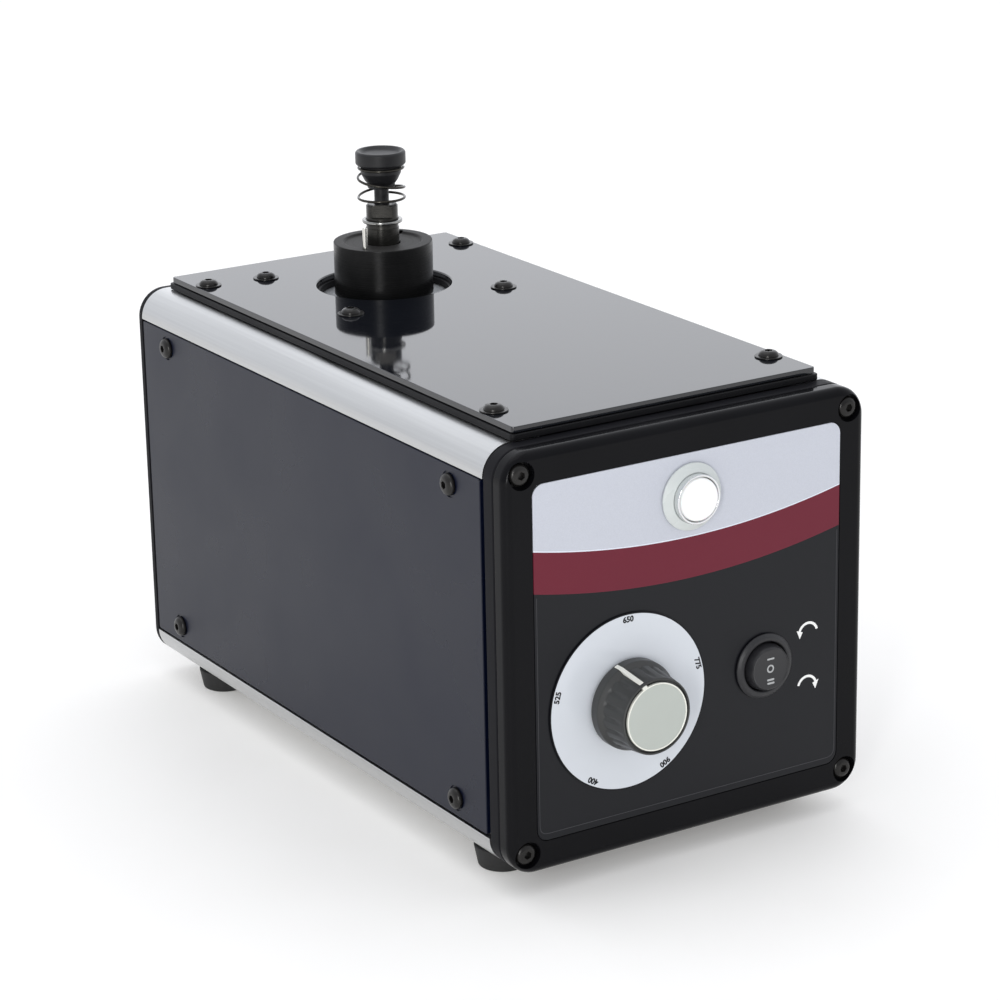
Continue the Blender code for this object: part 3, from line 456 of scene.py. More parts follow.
class Tree:
    """A material's nodes, with short calls to add and join them."""

    def __init__(self, name: str) -> None:
        """Starts a material with its Principled shader.

        Args:
            name: the material's name.
        """
        self.material = bpy.data.materials.new(name)
        self.material.use_nodes = True
        self.nodes = self.material.node_tree.nodes
        self.links = self.material.node_tree.links
        self.shader = self.nodes["Principled BSDF"]
        self.place = self.nodes.new("ShaderNodeTexCoord").outputs["Object"]

    def feed(self, socket: bpy.types.NodeSocket, value: object) -> None:
        """Links a socket to another's output, or sets its value.

        Args:
            socket: the input to fill.
            value: an output to link, or a plain value.
        """
        if isinstance(value, bpy.types.NodeSocket):
            self.links.new(value, socket)
        else:
            socket.default_value = value

    def set(self, **values: object) -> None:
        """Feeds the shader's sockets.

        Args:
            values: sockets' names, with _ for a space, and what goes into each.
        """
        for name, value in values.items():
            if isinstance(value, tuple) and len(value) == 3:
                value = (*value, 1)
            self.feed(self.shader.inputs[name.replace("_", " ")], value)

    def mapped(self, scale: Sequence[float], centre: Sequence[float] = (0, 0, 0)) -> bpy.types.NodeSocket:
        """Object coordinates less a centre, times a scale on each axis.

        Args:
            scale: the factor on each axis.
            centre: the point that becomes the origin.

        Returns:
            The vector's socket.
        """
        shift = self.nodes.new("ShaderNodeVectorMath")
        shift.operation = "SUBTRACT"
        self.links.new(self.place, shift.inputs[0])
        shift.inputs[1].default_value = centre
        stretch = self.nodes.new("ShaderNodeVectorMath")
        stretch.operation = "MULTIPLY"
        self.links.new(shift.outputs[0], stretch.inputs[0])
        stretch.inputs[1].default_value = scale
        return stretch.outputs[0]

    def noise(self, vector: bpy.types.NodeSocket, scale: float, detail: float = 3.0) -> bpy.types.NodeSocket:
        """Noise over a vector.

        Args:
            vector: where it is read.
            scale: how fine it is.
            detail: how many octaves it has.

        Returns:
            The value's socket, 0 to 1.
        """
        node = self.nodes.new("ShaderNodeTexNoise")
        self.links.new(vector, node.inputs["Vector"])
        node.inputs["Scale"].default_value = scale
        node.inputs["Detail"].default_value = detail
        return node.outputs["Fac"]

    def span(
        self, value: bpy.types.NodeSocket, low: float, high: float, start: float = 0.3, end: float = 0.7
    ) -> bpy.types.NodeSocket:
        """A value's range spread over another one.

        Args:
            value: the value's socket.
            low: what start becomes.
            high: what end becomes.
            start: the value's lower end.
            end: its upper end.

        Returns:
            The result's socket.
        """
        node = self.nodes.new("ShaderNodeMapRange")
        self.links.new(value, node.inputs["Value"])
        for name, number in (("From Min", start), ("From Max", end), ("To Min", low), ("To Max", high)):
            node.inputs[name].default_value = number
        return node.outputs["Result"]

    def maths(self, operation: str, first: object, second: object = 0.0) -> bpy.types.NodeSocket:
        """A sum, product or the like of two values.

        Args:
            operation: the Math node's operation.
            first: a socket or a number.
            second: a socket or a number.

        Returns:
            The result's socket.
        """
        node = self.nodes.new("ShaderNodeMath")
        node.operation = operation
        self.feed(node.inputs[0], first)
        self.feed(node.inputs[1], second)
        return node.outputs[0]

    def blend(self, factor: object, first: object, second: object) -> bpy.types.NodeSocket:
        """A colour between two others.

        Args:
            factor: 0 for the first, 1 for the second.
            first: a socket or a colour.
            second: a socket or a colour.

        Returns:
            The colour's socket.
        """
        node = self.nodes.new("ShaderNodeMix")
        node.data_type = "RGBA"
        self.feed(node.inputs["Factor"], factor)
        for socket, colour in ((node.inputs[6], first), (node.inputs[7], second)):
            self.feed(socket, (*colour, 1) if isinstance(colour, tuple) else colour)
        return node.outputs[2]

    def bump(self, height: bpy.types.NodeSocket, depth: float, strength: float = 0.5) -> None:
        """Gives the shader a relief.

        Args:
            height: the relief's height, 0 to 1.
            depth: how deep it is.
            strength: how much of it shows.
        """
        node = self.nodes.new("ShaderNodeBump")
        self.links.new(height, node.inputs["Height"])
        node.inputs["Distance"].default_value = depth
        node.inputs["Strength"].default_value = strength
        self.links.new(node.outputs["Normal"], self.shader.inputs["Normal"])

    def axes(self, vector: bpy.types.NodeSocket) -> bpy.types.NodeOutputs:
        """A vector's parts.

        Args:
            vector: the vector's socket.

        Returns:
            The sockets of its X, Y and Z.
        """
        node = self.nodes.new("ShaderNodeSeparateXYZ")
        self.links.new(vector, node.inputs[0])
        return node.outputs


MADE: dict["Finish", bpy.types.Material] = {}


@dataclass(frozen=True)
class Finish:
    """A coated or moulded surface: a colour that clouds a little, over a fine grain.

    The grain is noise on Object coordinates that makes the relief; coarser patches move the colour and the roughness
    together.
    """

    name: str
    colour: tuple[float, float, float]
    roughness: float = 0.4
    metallic: float = 0.0
    clouding: float = 0.12
    grain_scale: float = 2200.0
    grain_depth: float = 0.00002
    roughness_swing: float = 0.06
    coat: float = 0.0
    ior: float = 1.5
    specular: float = 0.5
    glow: float = 0.0

    def material(self) -> bpy.types.Material:
        """Makes the material once, and shares it with every piece that has this finish.

        Returns:
            The material.
        """
        if self not in MADE:
            tree = Tree(self.name)
            self.dress(tree)
            MADE[self] = tree.material
        return MADE[self]

    def shades(self) -> tuple[tuple[float, ...], tuple[float, ...]]:
        """The colour a little darker and a little lighter.

        Returns:
            (darker, lighter) colours.
        """
        dark = tuple(c * (1 - self.clouding) for c in self.colour)
        light = tuple(min(c * (1 + self.clouding), 1.0) for c in self.colour)
        return dark, light

    def dress(self, tree: Tree) -> None:
        """Lays clouding, roughness and relief on the shader.

        Args:
            tree: the material's nodes.
        """
        grain = tree.noise(tree.mapped((1, 1, 1)), self.grain_scale)
        patches = tree.noise(tree.mapped((1, 1, 1)), 26.0, 5.0)
        dark, light = self.shades()
        tree.set(Base_Color=tree.blend(tree.span(patches, 0, 1), dark, light))
        low = max(self.roughness - self.roughness_swing, 0.01)
        tree.set(Roughness=tree.span(patches, low, self.roughness + self.roughness_swing))
        tree.set(Metallic=self.metallic, IOR=self.ior, Specular_IOR_Level=self.specular)
        if self.glow:
            tree.set(Emission_Color=self.colour, Emission_Strength=self.glow)
        if self.coat:
            tree.set(Coat_Weight=self.coat, Coat_Roughness=0.05)
        tree.bump(grain, self.grain_depth)


@dataclass(frozen=True)
class BrushedMetal(Finish):
    """Metal drawn along Y: noise stretched so that its streaks run the length of the piece."""

    streak_scale: float = 900.0
    streak_depth: float = 0.00003

    def dress(self, tree: Tree) -> None:
        """Lays long streaks on the colour, the roughness and the relief.

        Args:
            tree: the material's nodes.
        """
        along = tree.mapped((1, 0.012, 1))
        streaks = tree.noise(along, self.streak_scale, 6.0)
        wide = tree.noise(along, self.streak_scale / 9, 2.0)
        both = tree.maths("MULTIPLY", tree.maths("ADD", streaks, wide), 0.5)
        dark, light = self.shades()
        tree.set(Base_Color=tree.blend(tree.span(both, 0, 1), dark, light))
        tree.set(Roughness=tree.span(both, self.roughness - 0.08, self.roughness + 0.08))
        tree.set(Metallic=self.metallic, Anisotropic=0.45)
        tree.bump(streaks, self.streak_depth, 0.35)


@dataclass(frozen=True)
class TurnedMetal(Finish):
    """Lathe-turned metal: fine rings about an upright axis, noise over (radius, height) alone."""

    axis: tuple[float, float] = (0.0, 0.0)
    rings: float = 5200.0
    ring_depth: float = 0.00002

    def dress(self, tree: Tree) -> None:
        """Lays the cutter's rings on the roughness and the relief, and clouds the colour.

        Args:
            tree: the material's nodes.
        """
        out = tree.axes(tree.mapped((1, 1, 1), (*self.axis, 0)))
        square = tree.maths("ADD", tree.maths("POWER", out["X"], 2), tree.maths("POWER", out["Y"], 2))
        radius = tree.maths("SQRT", square)
        join = tree.nodes.new("ShaderNodeCombineXYZ")
        tree.links.new(radius, join.inputs["X"])
        tree.links.new(out["Z"], join.inputs["Z"])
        rings = tree.noise(join.outputs[0], self.rings, 2.0)
        patches = tree.noise(tree.mapped((1, 1, 1)), 160.0, 5.0)
        dark, light = self.shades()
        tree.set(Base_Color=tree.blend(tree.span(patches, 0, 1), dark, light))
        tree.set(Roughness=tree.span(rings, self.roughness - 0.07, self.roughness + 0.09))
        tree.set(Metallic=self.metallic, IOR=self.ior, Specular_IOR_Level=self.specular)
        tree.bump(rings, self.ring_depth, 0.4)


@dataclass(frozen=True)
class LabelPrint(Finish):
    """The front label's print: silver above, a burgundy band between two arches, charcoal below.

    An arch is the line where height - bend x x is constant, with x and height taken from the middle
    of the front face.
    """

    middle: tuple[float, float] = (0.0, 0.0)
    silver: tuple[float, float, float] = (0.58, 0.60, 0.66)
    burgundy: tuple[float, float, float] = (0.140, 0.011, 0.026)
    band_top: float = 0.0327
    band_foot: float = 0.0184
    bend: float = 1.76
    keyline: float = 0.0004

    def dress(self, tree: Tree) -> None:
        """Lays the three fields with the thin light line above the band, and a fine screen grain.

        Args:
            tree: the material's nodes.
        """
        out = tree.axes(tree.mapped((1, 1, 1), (self.middle[0], 0, self.middle[1])))
        arch = tree.maths("MULTIPLY", tree.maths("POWER", out["X"], 2), self.bend)
        level = tree.maths("SUBTRACT", out["Z"], arch)
        above_foot = tree.maths("GREATER_THAN", level, self.band_foot)
        above_band = tree.maths("GREATER_THAN", level, self.band_top)
        above_line = tree.maths("GREATER_THAN", level, self.band_top + self.keyline)
        speckle = tree.span(tree.noise(tree.mapped((1, 1, 1)), 3000.0), 0, 1)
        dull = tuple(c * 0.93 for c in self.silver)
        silver = tree.blend(speckle, dull, self.silver)
        charcoal = tree.blend(speckle, tuple(c * 0.85 for c in self.colour), self.colour)
        field = tree.blend(above_foot, charcoal, self.burgundy)
        line = tuple(min(c * 1.3, 0.95) for c in self.silver)
        field = tree.blend(above_band, field, line)
        field = tree.blend(above_line, field, silver)
        tree.set(Base_Color=field)
        tree.set(Roughness=tree.span(speckle, self.roughness - 0.03, self.roughness + 0.05, 0, 1))
        tree.set(IOR=self.ior)
        tree.bump(tree.noise(tree.mapped((1, 1, 1)), self.grain_scale), self.grain_depth, 0.3)


@dataclass(frozen=True)
class LitPlastic(Finish):
    """Milky plastic with a lamp behind it."""

    glow: float = 0.1

    def dress(self, tree: Tree) -> None:
        """Lays the plain finish, with light let through.

        Args:
            tree: the material's nodes.
        """
        super().dress(tree)
        tree.set(Subsurface_Weight=0.1)
        tree.shader.inputs["Subsurface Scale"].default_value = 0.002


def spindle_spot() -> tuple[float, float]:
    """Where the spindle's axis stands, as x and y."""
    x, y, _ = middle_of(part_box("drive_hub"))
    return (x, y)


def front_middle() -> tuple[float, float]:
    """The middle of the front face, as x and z."""
    x, _, z = middle_of(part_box("front_plate"))
    return (x, z)


GLOSS_BLACK = Finish(
    "gloss_black", (0.004, 0.004, 0.005), 0.16, ior=1.3, specular=0.25, grain_scale=700, grain_depth=0.000006
)
FRAME_GREY = Finish("frame_grey", (0.010, 0.010, 0.012), 0.5, ior=1.25, specular=0.2, grain_scale=2600)
PANEL_SLATE = Finish("panel_slate", (0.002, 0.004, 0.015), 0.3, clouding=0.05, ior=1.33, grain_scale=3200)
GASKET_BLACK = Finish("gasket_black", (0.004, 0.004, 0.005), 0.5, ior=1.3, grain_scale=2400)
PLATE_BLACK = Finish(
    "plate_black", (0.004, 0.005, 0.008), 0.05, ior=1.66, clouding=0.03, grain_scale=420, grain_depth=0.0000015,
    roughness_swing=0.02,
)
RAIL_SILVER = BrushedMetal("rail_silver", (0.53, 0.535, 0.535), 0.32, 1.0, clouding=0.12)
BLACKENED = Finish("blackened_steel", (0.022, 0.021, 0.020), 0.28, 0.6, clouding=0.3, grain_scale=1500)
SPINDLE_BLACK = TurnedMetal("spindle_black", (0.030, 0.029, 0.026), 0.25, 0.7, clouding=0.35, axis=spindle_spot())
SPRING_BLACK = Finish("spring_black", (0.045, 0.042, 0.036), 0.16, 0.9, clouding=0.3, grain_scale=2400)
HUB_BLACK = TurnedMetal(
    "hub_black", (0.016, 0.016, 0.016), 0.30, 0.7, clouding=0.2, ior=1.35, specular=0.4, axis=spindle_spot()
)
# A paler, duller copy of the hub's black finish for the faces that point up: painted light on the hub's top.
HUB_TOP_LIT = TurnedMetal(
    "hub_top_painted_light", (0.035, 0.034, 0.033), 0.45, clouding=0.1, ior=1.3, specular=0.15, axis=spindle_spot()
)
BRIGHT_STEEL = TurnedMetal("bright_steel", (0.66, 0.65, 0.61), 0.2, 1.0, clouding=0.08, axis=spindle_spot())
RING_STEEL = TurnedMetal("ring_steel", (0.30, 0.30, 0.29), 0.18, 1.0, clouding=0.08, axis=spindle_spot())
KNOB_BLACK = Finish(
    "knob_black", (0.009, 0.009, 0.010), 0.40, specular=0.35, clouding=0.2, grain_scale=1900, grain_depth=0.00004
)
DIAL_KNOB = Finish("dial_knob", (0.036, 0.037, 0.036), 0.40, clouding=0.35, grain_scale=900, grain_depth=0.00006)
CAP_SILVER = Finish("cap_silver", (0.48, 0.51, 0.47), 0.36, 0.2, clouding=0.03, grain_scale=2600)
CAP_RIM = Finish("cap_rim", (0.86, 0.86, 0.78), 0.22, 0.2, clouding=0.03)
DIAL_WHITE = Finish(
    "dial_white", (0.67, 0.70, 0.74), 0.12, ior=1.45, clouding=0.03, grain_scale=2800, grain_depth=0.000004
)
WHITE_INK = Finish("white_ink", (0.93, 0.93, 0.91), 0.5, clouding=0.04, grain_scale=2600)
BLACK_INK = Finish("black_ink", (0.006, 0.006, 0.008), 0.5, clouding=0.15, ior=1.3, grain_scale=2600)
# Painted shade: the dark line that stands for the shaded side of the label's embossed edge.
LABEL_EDGE_SHADE = Finish("label_edge_shade", (0.035, 0.035, 0.04), 0.5, clouding=0.1, grain_scale=2600)
MARK_INK = Finish("mark_ink", (0.42, 0.43, 0.43), 0.5, clouding=0.04, grain_scale=2600)
POINTER_WHITE = Finish("pointer_white", (0.84, 0.84, 0.77), 0.45, clouding=0.1, grain_scale=1400)
BUTTON_WHITE = Finish("button_white", (0.62, 0.655, 0.64), 0.28, clouding=0.04, grain_scale=2600)
LENS_WHITE = LitPlastic("lens_white", (0.92, 0.92, 0.91), 0.18, clouding=0.02)
CHROME = Finish("chrome", (0.78, 0.79, 0.80), 0.12, 1.0, clouding=0.04, roughness_swing=0.04)
FOOT_RUBBER = Finish("foot_rubber", (0.014, 0.014, 0.014), 0.72, clouding=0.25, grain_scale=1200, grain_depth=0.00008)
SWITCH_BLACK = Finish(
    "switch_black", (0.014, 0.014, 0.016), 0.42, clouding=0.15, grain_scale=1700, grain_depth=0.00004
)
ROCKER_BLACK = Finish("rocker_black", (0.013, 0.013, 0.015), 0.34, clouding=0.12, grain_scale=2100)
CAST_GREY = Finish("cast_grey", (0.30, 0.31, 0.32), 0.5, 0.6, clouding=0.15, grain_scale=700, grain_depth=0.0001)
BOARD_GREEN = Finish("board_green", (0.015, 0.10, 0.04), 0.4, clouding=0.2, grain_scale=900)
STEEL = Finish("steel", (0.5, 0.5, 0.51), 0.3, 1.0, clouding=0.1)
BRASS = Finish("brass", (0.62, 0.47, 0.22), 0.28, 1.0, clouding=0.1)
LABEL = LabelPrint(
    "label_print", (0.006, 0.0065, 0.009), 0.36, ior=1.33, grain_scale=3400, grain_depth=0.00001,
    middle=front_middle(),
)


# ---------------------------------------------------------------- sub-assemblies


@dataclass
class Casing:
    """The box: front moulding, front plate, rails, side panels, rear panel and base plate."""

    corner_r: float = 10.5 * MM
    front_edge: float = 3.2 * MM
    back_edge: float = 0.5 * MM
    pocket_r: float = 4.5 * MM
    sink_r: float = 4.75 * MM
    sink_depth: float = 2.8 * MM
    side_sink_r: float = 4.5 * MM
    side_sink_depth: float = 0.4 * MM
    gap: float = 0.3 * MM
    rail_wall: float = 2.5 * MM
    flange_reach: float = 50.0 * MM
    boss: tuple[float, float] = (65.2 * MM, 65.5 * MM)
    boss_wall: float = 4.2 * MM
    screw_hole_r: float = 2.2 * MM
    plate_depth: float = 5.8 * MM
    sheet_depth: float = 2.6 * MM
    fuse_hole_r: float = 6.0 * MM
    inlet_hole: tuple[float, float] = (13.8 * MM, 10.2 * MM)
    hole_radii: tuple[tuple[str, float], ...] = (
        ("speed_potentiometer", 4.0 * MM), ("switch_housing", 10.5 * MM), ("button_housing", 9.5 * MM),
    )

    def build(self) -> None:
        """Builds every piece of the box."""
        self.front_bezel()
        self.front_plate()
        self.rear_panel()
        self.side_panels()
        self.rails()
        dress_node("base_plate", FRAME_GREY)

    def boss_points(self) -> list[tuple[float, float]]:
        """The four end-screw axes in the plane of a panel."""
        return [(sx * self.boss[0], sy * self.boss[1]) for sx in (-1, 1) for sy in (-1, 1)]

    def control_holes(self, origin: Vector) -> list[tuple[float, tuple[float, float]]]:
        """The radius and the place of each control's hole, taken from the part that fills it.

        Args:
            origin: the origin of the plane that the holes are cut in.

        Returns:
            (radius, (x, y)) for each hole.
        """
        holes = []
        for node, radius in self.hole_radii:
            x, _, z = middle_of(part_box(node))
            holes.append((radius, (x - origin.x, z - origin.z)))
        return holes

    def front_bezel(self) -> None:
        """The moulding: a plate with a broad front rounding, a label pocket and sunk screw rings."""
        low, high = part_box("front_bezel")
        origin = Vector(((low.x + high.x) / 2, high.y, (low.z + high.z) / 2))
        depth = high.y - low.y
        plate = slab((high.x - low.x, high.z - low.z, depth), self.corner_r, self.front_edge, self.back_edge, 8)
        label_low, label_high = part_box("front_label")
        half = ((label_high.x - label_low.x) / 2 + self.gap, (label_high.z - label_low.z) / 2 + self.gap)
        floor = depth - (label_high.y - low.y) - self.gap
        cutters = [extruded(round_box(*half, self.pocket_r), floor, depth + self.gap)]
        for at in self.boss_points():
            cutters.append(drill(self.sink_r, depth - self.sink_depth, depth + self.gap, at))
            cutters.append(drill(self.screw_hole_r, -self.gap, depth, at))
        for radius, at in self.control_holes(origin):
            cutters.append(drill(radius, -self.gap, depth, at))
        shape = worked(plate, cutters, 0.25 * MM)
        make_piece(
            "front_moulding", shape.placed(Facing.FRONT, origin), GLOSS_BLACK, Body.CHASSIS,
            ["front_bezel"],
        )

    def front_plate(self) -> None:
        """The satin plate behind the moulding."""
        low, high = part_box("front_plate")
        bezel_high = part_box("front_bezel")[1]
        front = bezel_high.y + self.gap
        depth = self.plate_depth
        origin = Vector(((low.x + high.x) / 2, front + depth, (low.z + high.z) / 2))
        plate = slab((high.x - low.x, high.z - low.z, depth), self.corner_r, 0.7 * MM, 0.7 * MM, 4)
        cutters = [drill(self.screw_hole_r, -self.gap, depth + self.gap, at) for at in self.boss_points()]
        cutters += [drill(r, -self.gap, depth + self.gap, at) for r, at in self.control_holes(origin)]
        shape = worked(plate, cutters)
        lip_h = 2 * (self.flange_reach - self.gap)
        lip_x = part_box("left_side_panel")[1].x
        lips = []
        for sx in (-1, 1):
            outer = sx * abs(lip_x - (low.x + high.x) / 2) - sx * self.gap
            mid = outer - sx * self.rail_wall / 2
            lip = extruded(round_box(self.rail_wall / 2, lip_h / 2, 0.2 * MM, 3), -(high.y - front - depth), self.gap)
            lips.append(lip.moved(mid, 0))
        make_piece(
            "front_frame", shape.joined(*lips).placed(Facing.FRONT, origin), FRAME_GREY, Body.CHASSIS,
            ["front_plate"],
        )

    def rear_panel(self) -> None:
        """The rear sheet with its cut-outs, and the lip under the gasket."""
        low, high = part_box("rear_panel")
        depth = self.sheet_depth
        middle = ((low.x + high.x) / 2, (low.z + high.z) / 2)
        origin = (middle[0], high.y - depth, middle[1])
        sheet = slab((high.x - low.x, high.z - low.z, depth), self.corner_r, 0.5 * MM, 0.3 * MM, 3)
        cutters = [drill(self.screw_hole_r, -self.gap, depth + self.gap, at) for at in self.boss_points()]
        fuse, inlet = (
            (middle[0] - x, z - middle[1])
            for x, _, z in (middle_of(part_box("fuse_holder")), middle_of(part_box("mains_inlet")))
        )
        cutters.append(drill(self.fuse_hole_r, -self.gap, depth + self.gap, fuse))
        hole = round_box(*self.inlet_hole, 1.0 * MM, 3) + np.array(inlet)
        cutters.append(extruded(hole, -self.gap, depth + self.gap))
        shape = worked(sheet, cutters)
        lip_d = high.y - depth - low.y
        lip_half = self.flange_reach - self.gap
        lip = extruded(round_box(lip_half, self.rail_wall / 2, 0.2 * MM, 3), -lip_d, 0.1 * MM)
        lip = lip.moved(0, (high.z - low.z) / 2 - self.rail_wall / 2 - self.gap)
        make_piece(
            "rear_sheet", shape.joined(lip).placed(Facing.REAR, origin), FRAME_GREY, Body.CHASSIS,
            ["rear_panel"],
        )

    def side_panels(self) -> None:
        """Both side sheets, with a shallow ring sunk round each screw."""
        for side, facing in (("left", Facing.LEFT), ("right", Facing.RIGHT)):
            low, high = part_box(f"{side}_side_panel")
            inner_x = high.x if side == "left" else low.x
            origin = (inner_x, (low.y + high.y) / 2, (low.z + high.z) / 2)
            thick = high.x - low.x
            sheet = slab((high.y - low.y, high.z - low.z, thick), 0.8 * MM, 0.35 * MM, 0.1 * MM, 3)
            cutters = []
            for number in range(1, 5):
                _, y, z = middle_of(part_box(f"{side}_side_screw_{number}"))
                along = y - origin[1]
                at = (along if facing is Facing.RIGHT else -along, z - origin[2])
                cutters.append(drill(self.side_sink_r, thick - self.side_sink_depth, thick + self.gap, at))
                cutters.append(drill(self.screw_hole_r, -self.gap, thick, at))
            shape = worked(sheet, cutters)
            make_piece(
                f"{side}_side_sheet", shape.placed(facing, origin), PANEL_SLATE, Body.CHASSIS,
                [f"{side}_side_panel"],
            )

    def rail_section(self, sx: int, sz: int, half_w: float, half_h: float, flange_x: float) -> np.ndarray:
        """A rail's section in one corner: a quarter-round nose, a lip, and a flange behind each skin.

        Args:
            sx: -1 on the left, 1 on the right.
            sz: -1 below, 1 above.
            half_w: half the body's width.
            half_h: half the body's height.
            flange_x: where the side flange's outer face lies.

        Returns:
            The outline, anticlockwise, shape (n, 2).
        """
        quarter = np.linspace(np.pi / 2, 0, 29)
        nose = np.array((half_w - self.corner_r, half_h - self.corner_r))
        arc = nose + self.corner_r * np.stack([np.cos(quarter), np.sin(quarter)], axis=-1)
        inner_x = flange_x - self.rail_wall
        inner_z = half_h - self.rail_wall
        web = sum(self.boss) - self.boss_wall * math.sqrt(2)
        rest = np.array(
            [
                (flange_x, nose[1]),
                (flange_x, self.flange_reach),
                (inner_x, self.flange_reach),
                (inner_x, web - inner_x),
                (web - inner_z, inner_z),
                (self.flange_reach, inner_z),
                (self.flange_reach, half_h),
            ]
        )
        outline = np.concatenate([arc, rest]) * (sx, sz)
        return outline if sx * sz < 0 else outline[::-1]

    def rails(self) -> None:
        """The four corner rails, swept along the body, with their screw holes."""
        low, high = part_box("front_plate")
        middle = ((low.x + high.x) / 2, (low.z + high.z) / 2)
        flange_x = abs(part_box("left_side_panel")[1].x - middle[0]) - self.gap
        for sx, side in ((-1, "left"), (1, "right")):
            for sz, level in ((-1, "lower"), (1, "upper")):
                name = f"{level}_{side}_rail"
                r_low, r_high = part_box(name)
                section = self.rail_section(sx, sz, (high.x - low.x) / 2, (high.z - low.z) / 2, flange_x)
                length = r_high.y - r_low.y
                bar = extruded(section, 0, length)
                at = (sx * self.boss[0], sz * self.boss[1])
                shape = worked(bar, [drill(self.screw_hole_r, -self.gap, length + self.gap, at, 32)], 0.25 * MM, 3)
                origin = (middle[0], r_high.y, middle[1])
                make_piece(
                    f"{name}_profile", shape.placed(Facing.FRONT, origin), RAIL_SILVER, Body.CHASSIS,
                    [name],
                )


@dataclass
class TopDeck:
    """The mirror-black top plate and the darker sheet under it."""

    plate_r: float = 1.2 * MM
    edge: float = 0.3 * MM
    hole_r: float = 25.2 * MM
    hole_edge: float = 0.6 * MM
    sheet_hole_r: float = 24.0 * MM
    screw_hole_r: float = 2.2 * MM

    def screw_points(self, origin: Sequence[float]) -> list[tuple[float, float]]:
        """The eight screw axes, in the plate's plane.

        Args:
            origin: the plate's origin.

        Returns:
            (x, y) for each screw.
        """
        points = []
        for kind in ("top", "motor"):
            for number in range(1, 5):
                x, y, _ = middle_of(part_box(f"{kind}_screw_{number}"))
                points.append((x - origin[0], y - origin[1]))
        return points

    def build(self) -> None:
        """Builds the plate and the sheet."""
        over = 0.5 * MM
        hub = spindle_spot()
        low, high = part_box("top_plate")
        origin = ((low.x + high.x) / 2, (low.y + high.y) / 2, low.z)
        at = (hub[0] - origin[0], hub[1] - origin[1])
        thick = high.z - low.z
        plate = slab((high.x - low.x, high.y - low.y, thick), self.plate_r, self.edge, 0.1 * MM, 3)
        bend = np.linspace(0, np.pi / 2, 7)
        lip = np.stack(
            [
                self.hole_r + self.hole_edge * (1 - np.sin(bend)),
                thick - self.hole_edge * (1 - np.cos(bend)),
            ],
            axis=-1,
        )
        top = np.array([(0, thick + over), (self.hole_r + self.hole_edge, thick + over)])
        foot = np.array([(self.hole_r, -over), (0, -over)])
        cutters = [revolved(np.concatenate([top, lip, foot]), 128).moved(*at)]
        cutters += [drill(self.screw_hole_r, -over, thick + over, point, 24) for point in self.screw_points(origin)]
        shape = worked(plate, cutters)
        make_piece(
            "top_deck", shape.placed(Facing.UP, origin), PLATE_BLACK, Body.CHASSIS, ["top_plate"],
            crease=25,
        )
        low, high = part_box("top_gasket")
        origin = ((low.x + high.x) / 2, (low.y + high.y) / 2, low.z)
        thick = high.z - low.z
        sheet = slab((high.x - low.x, high.y - low.y, thick), 1.5 * MM, 0.3 * MM, 0.3 * MM, 3)
        cutters = [drill(self.sheet_hole_r, -over, thick + over, at, 96)]
        cutters += [drill(self.screw_hole_r, -over, thick + over, point, 24) for point in self.screw_points(origin)]
        make_piece(
            "deck_underlay", worked(sheet, cutters).placed(Facing.UP, origin), GASKET_BLACK, Body.CHASSIS,
            ["top_gasket"],
        )


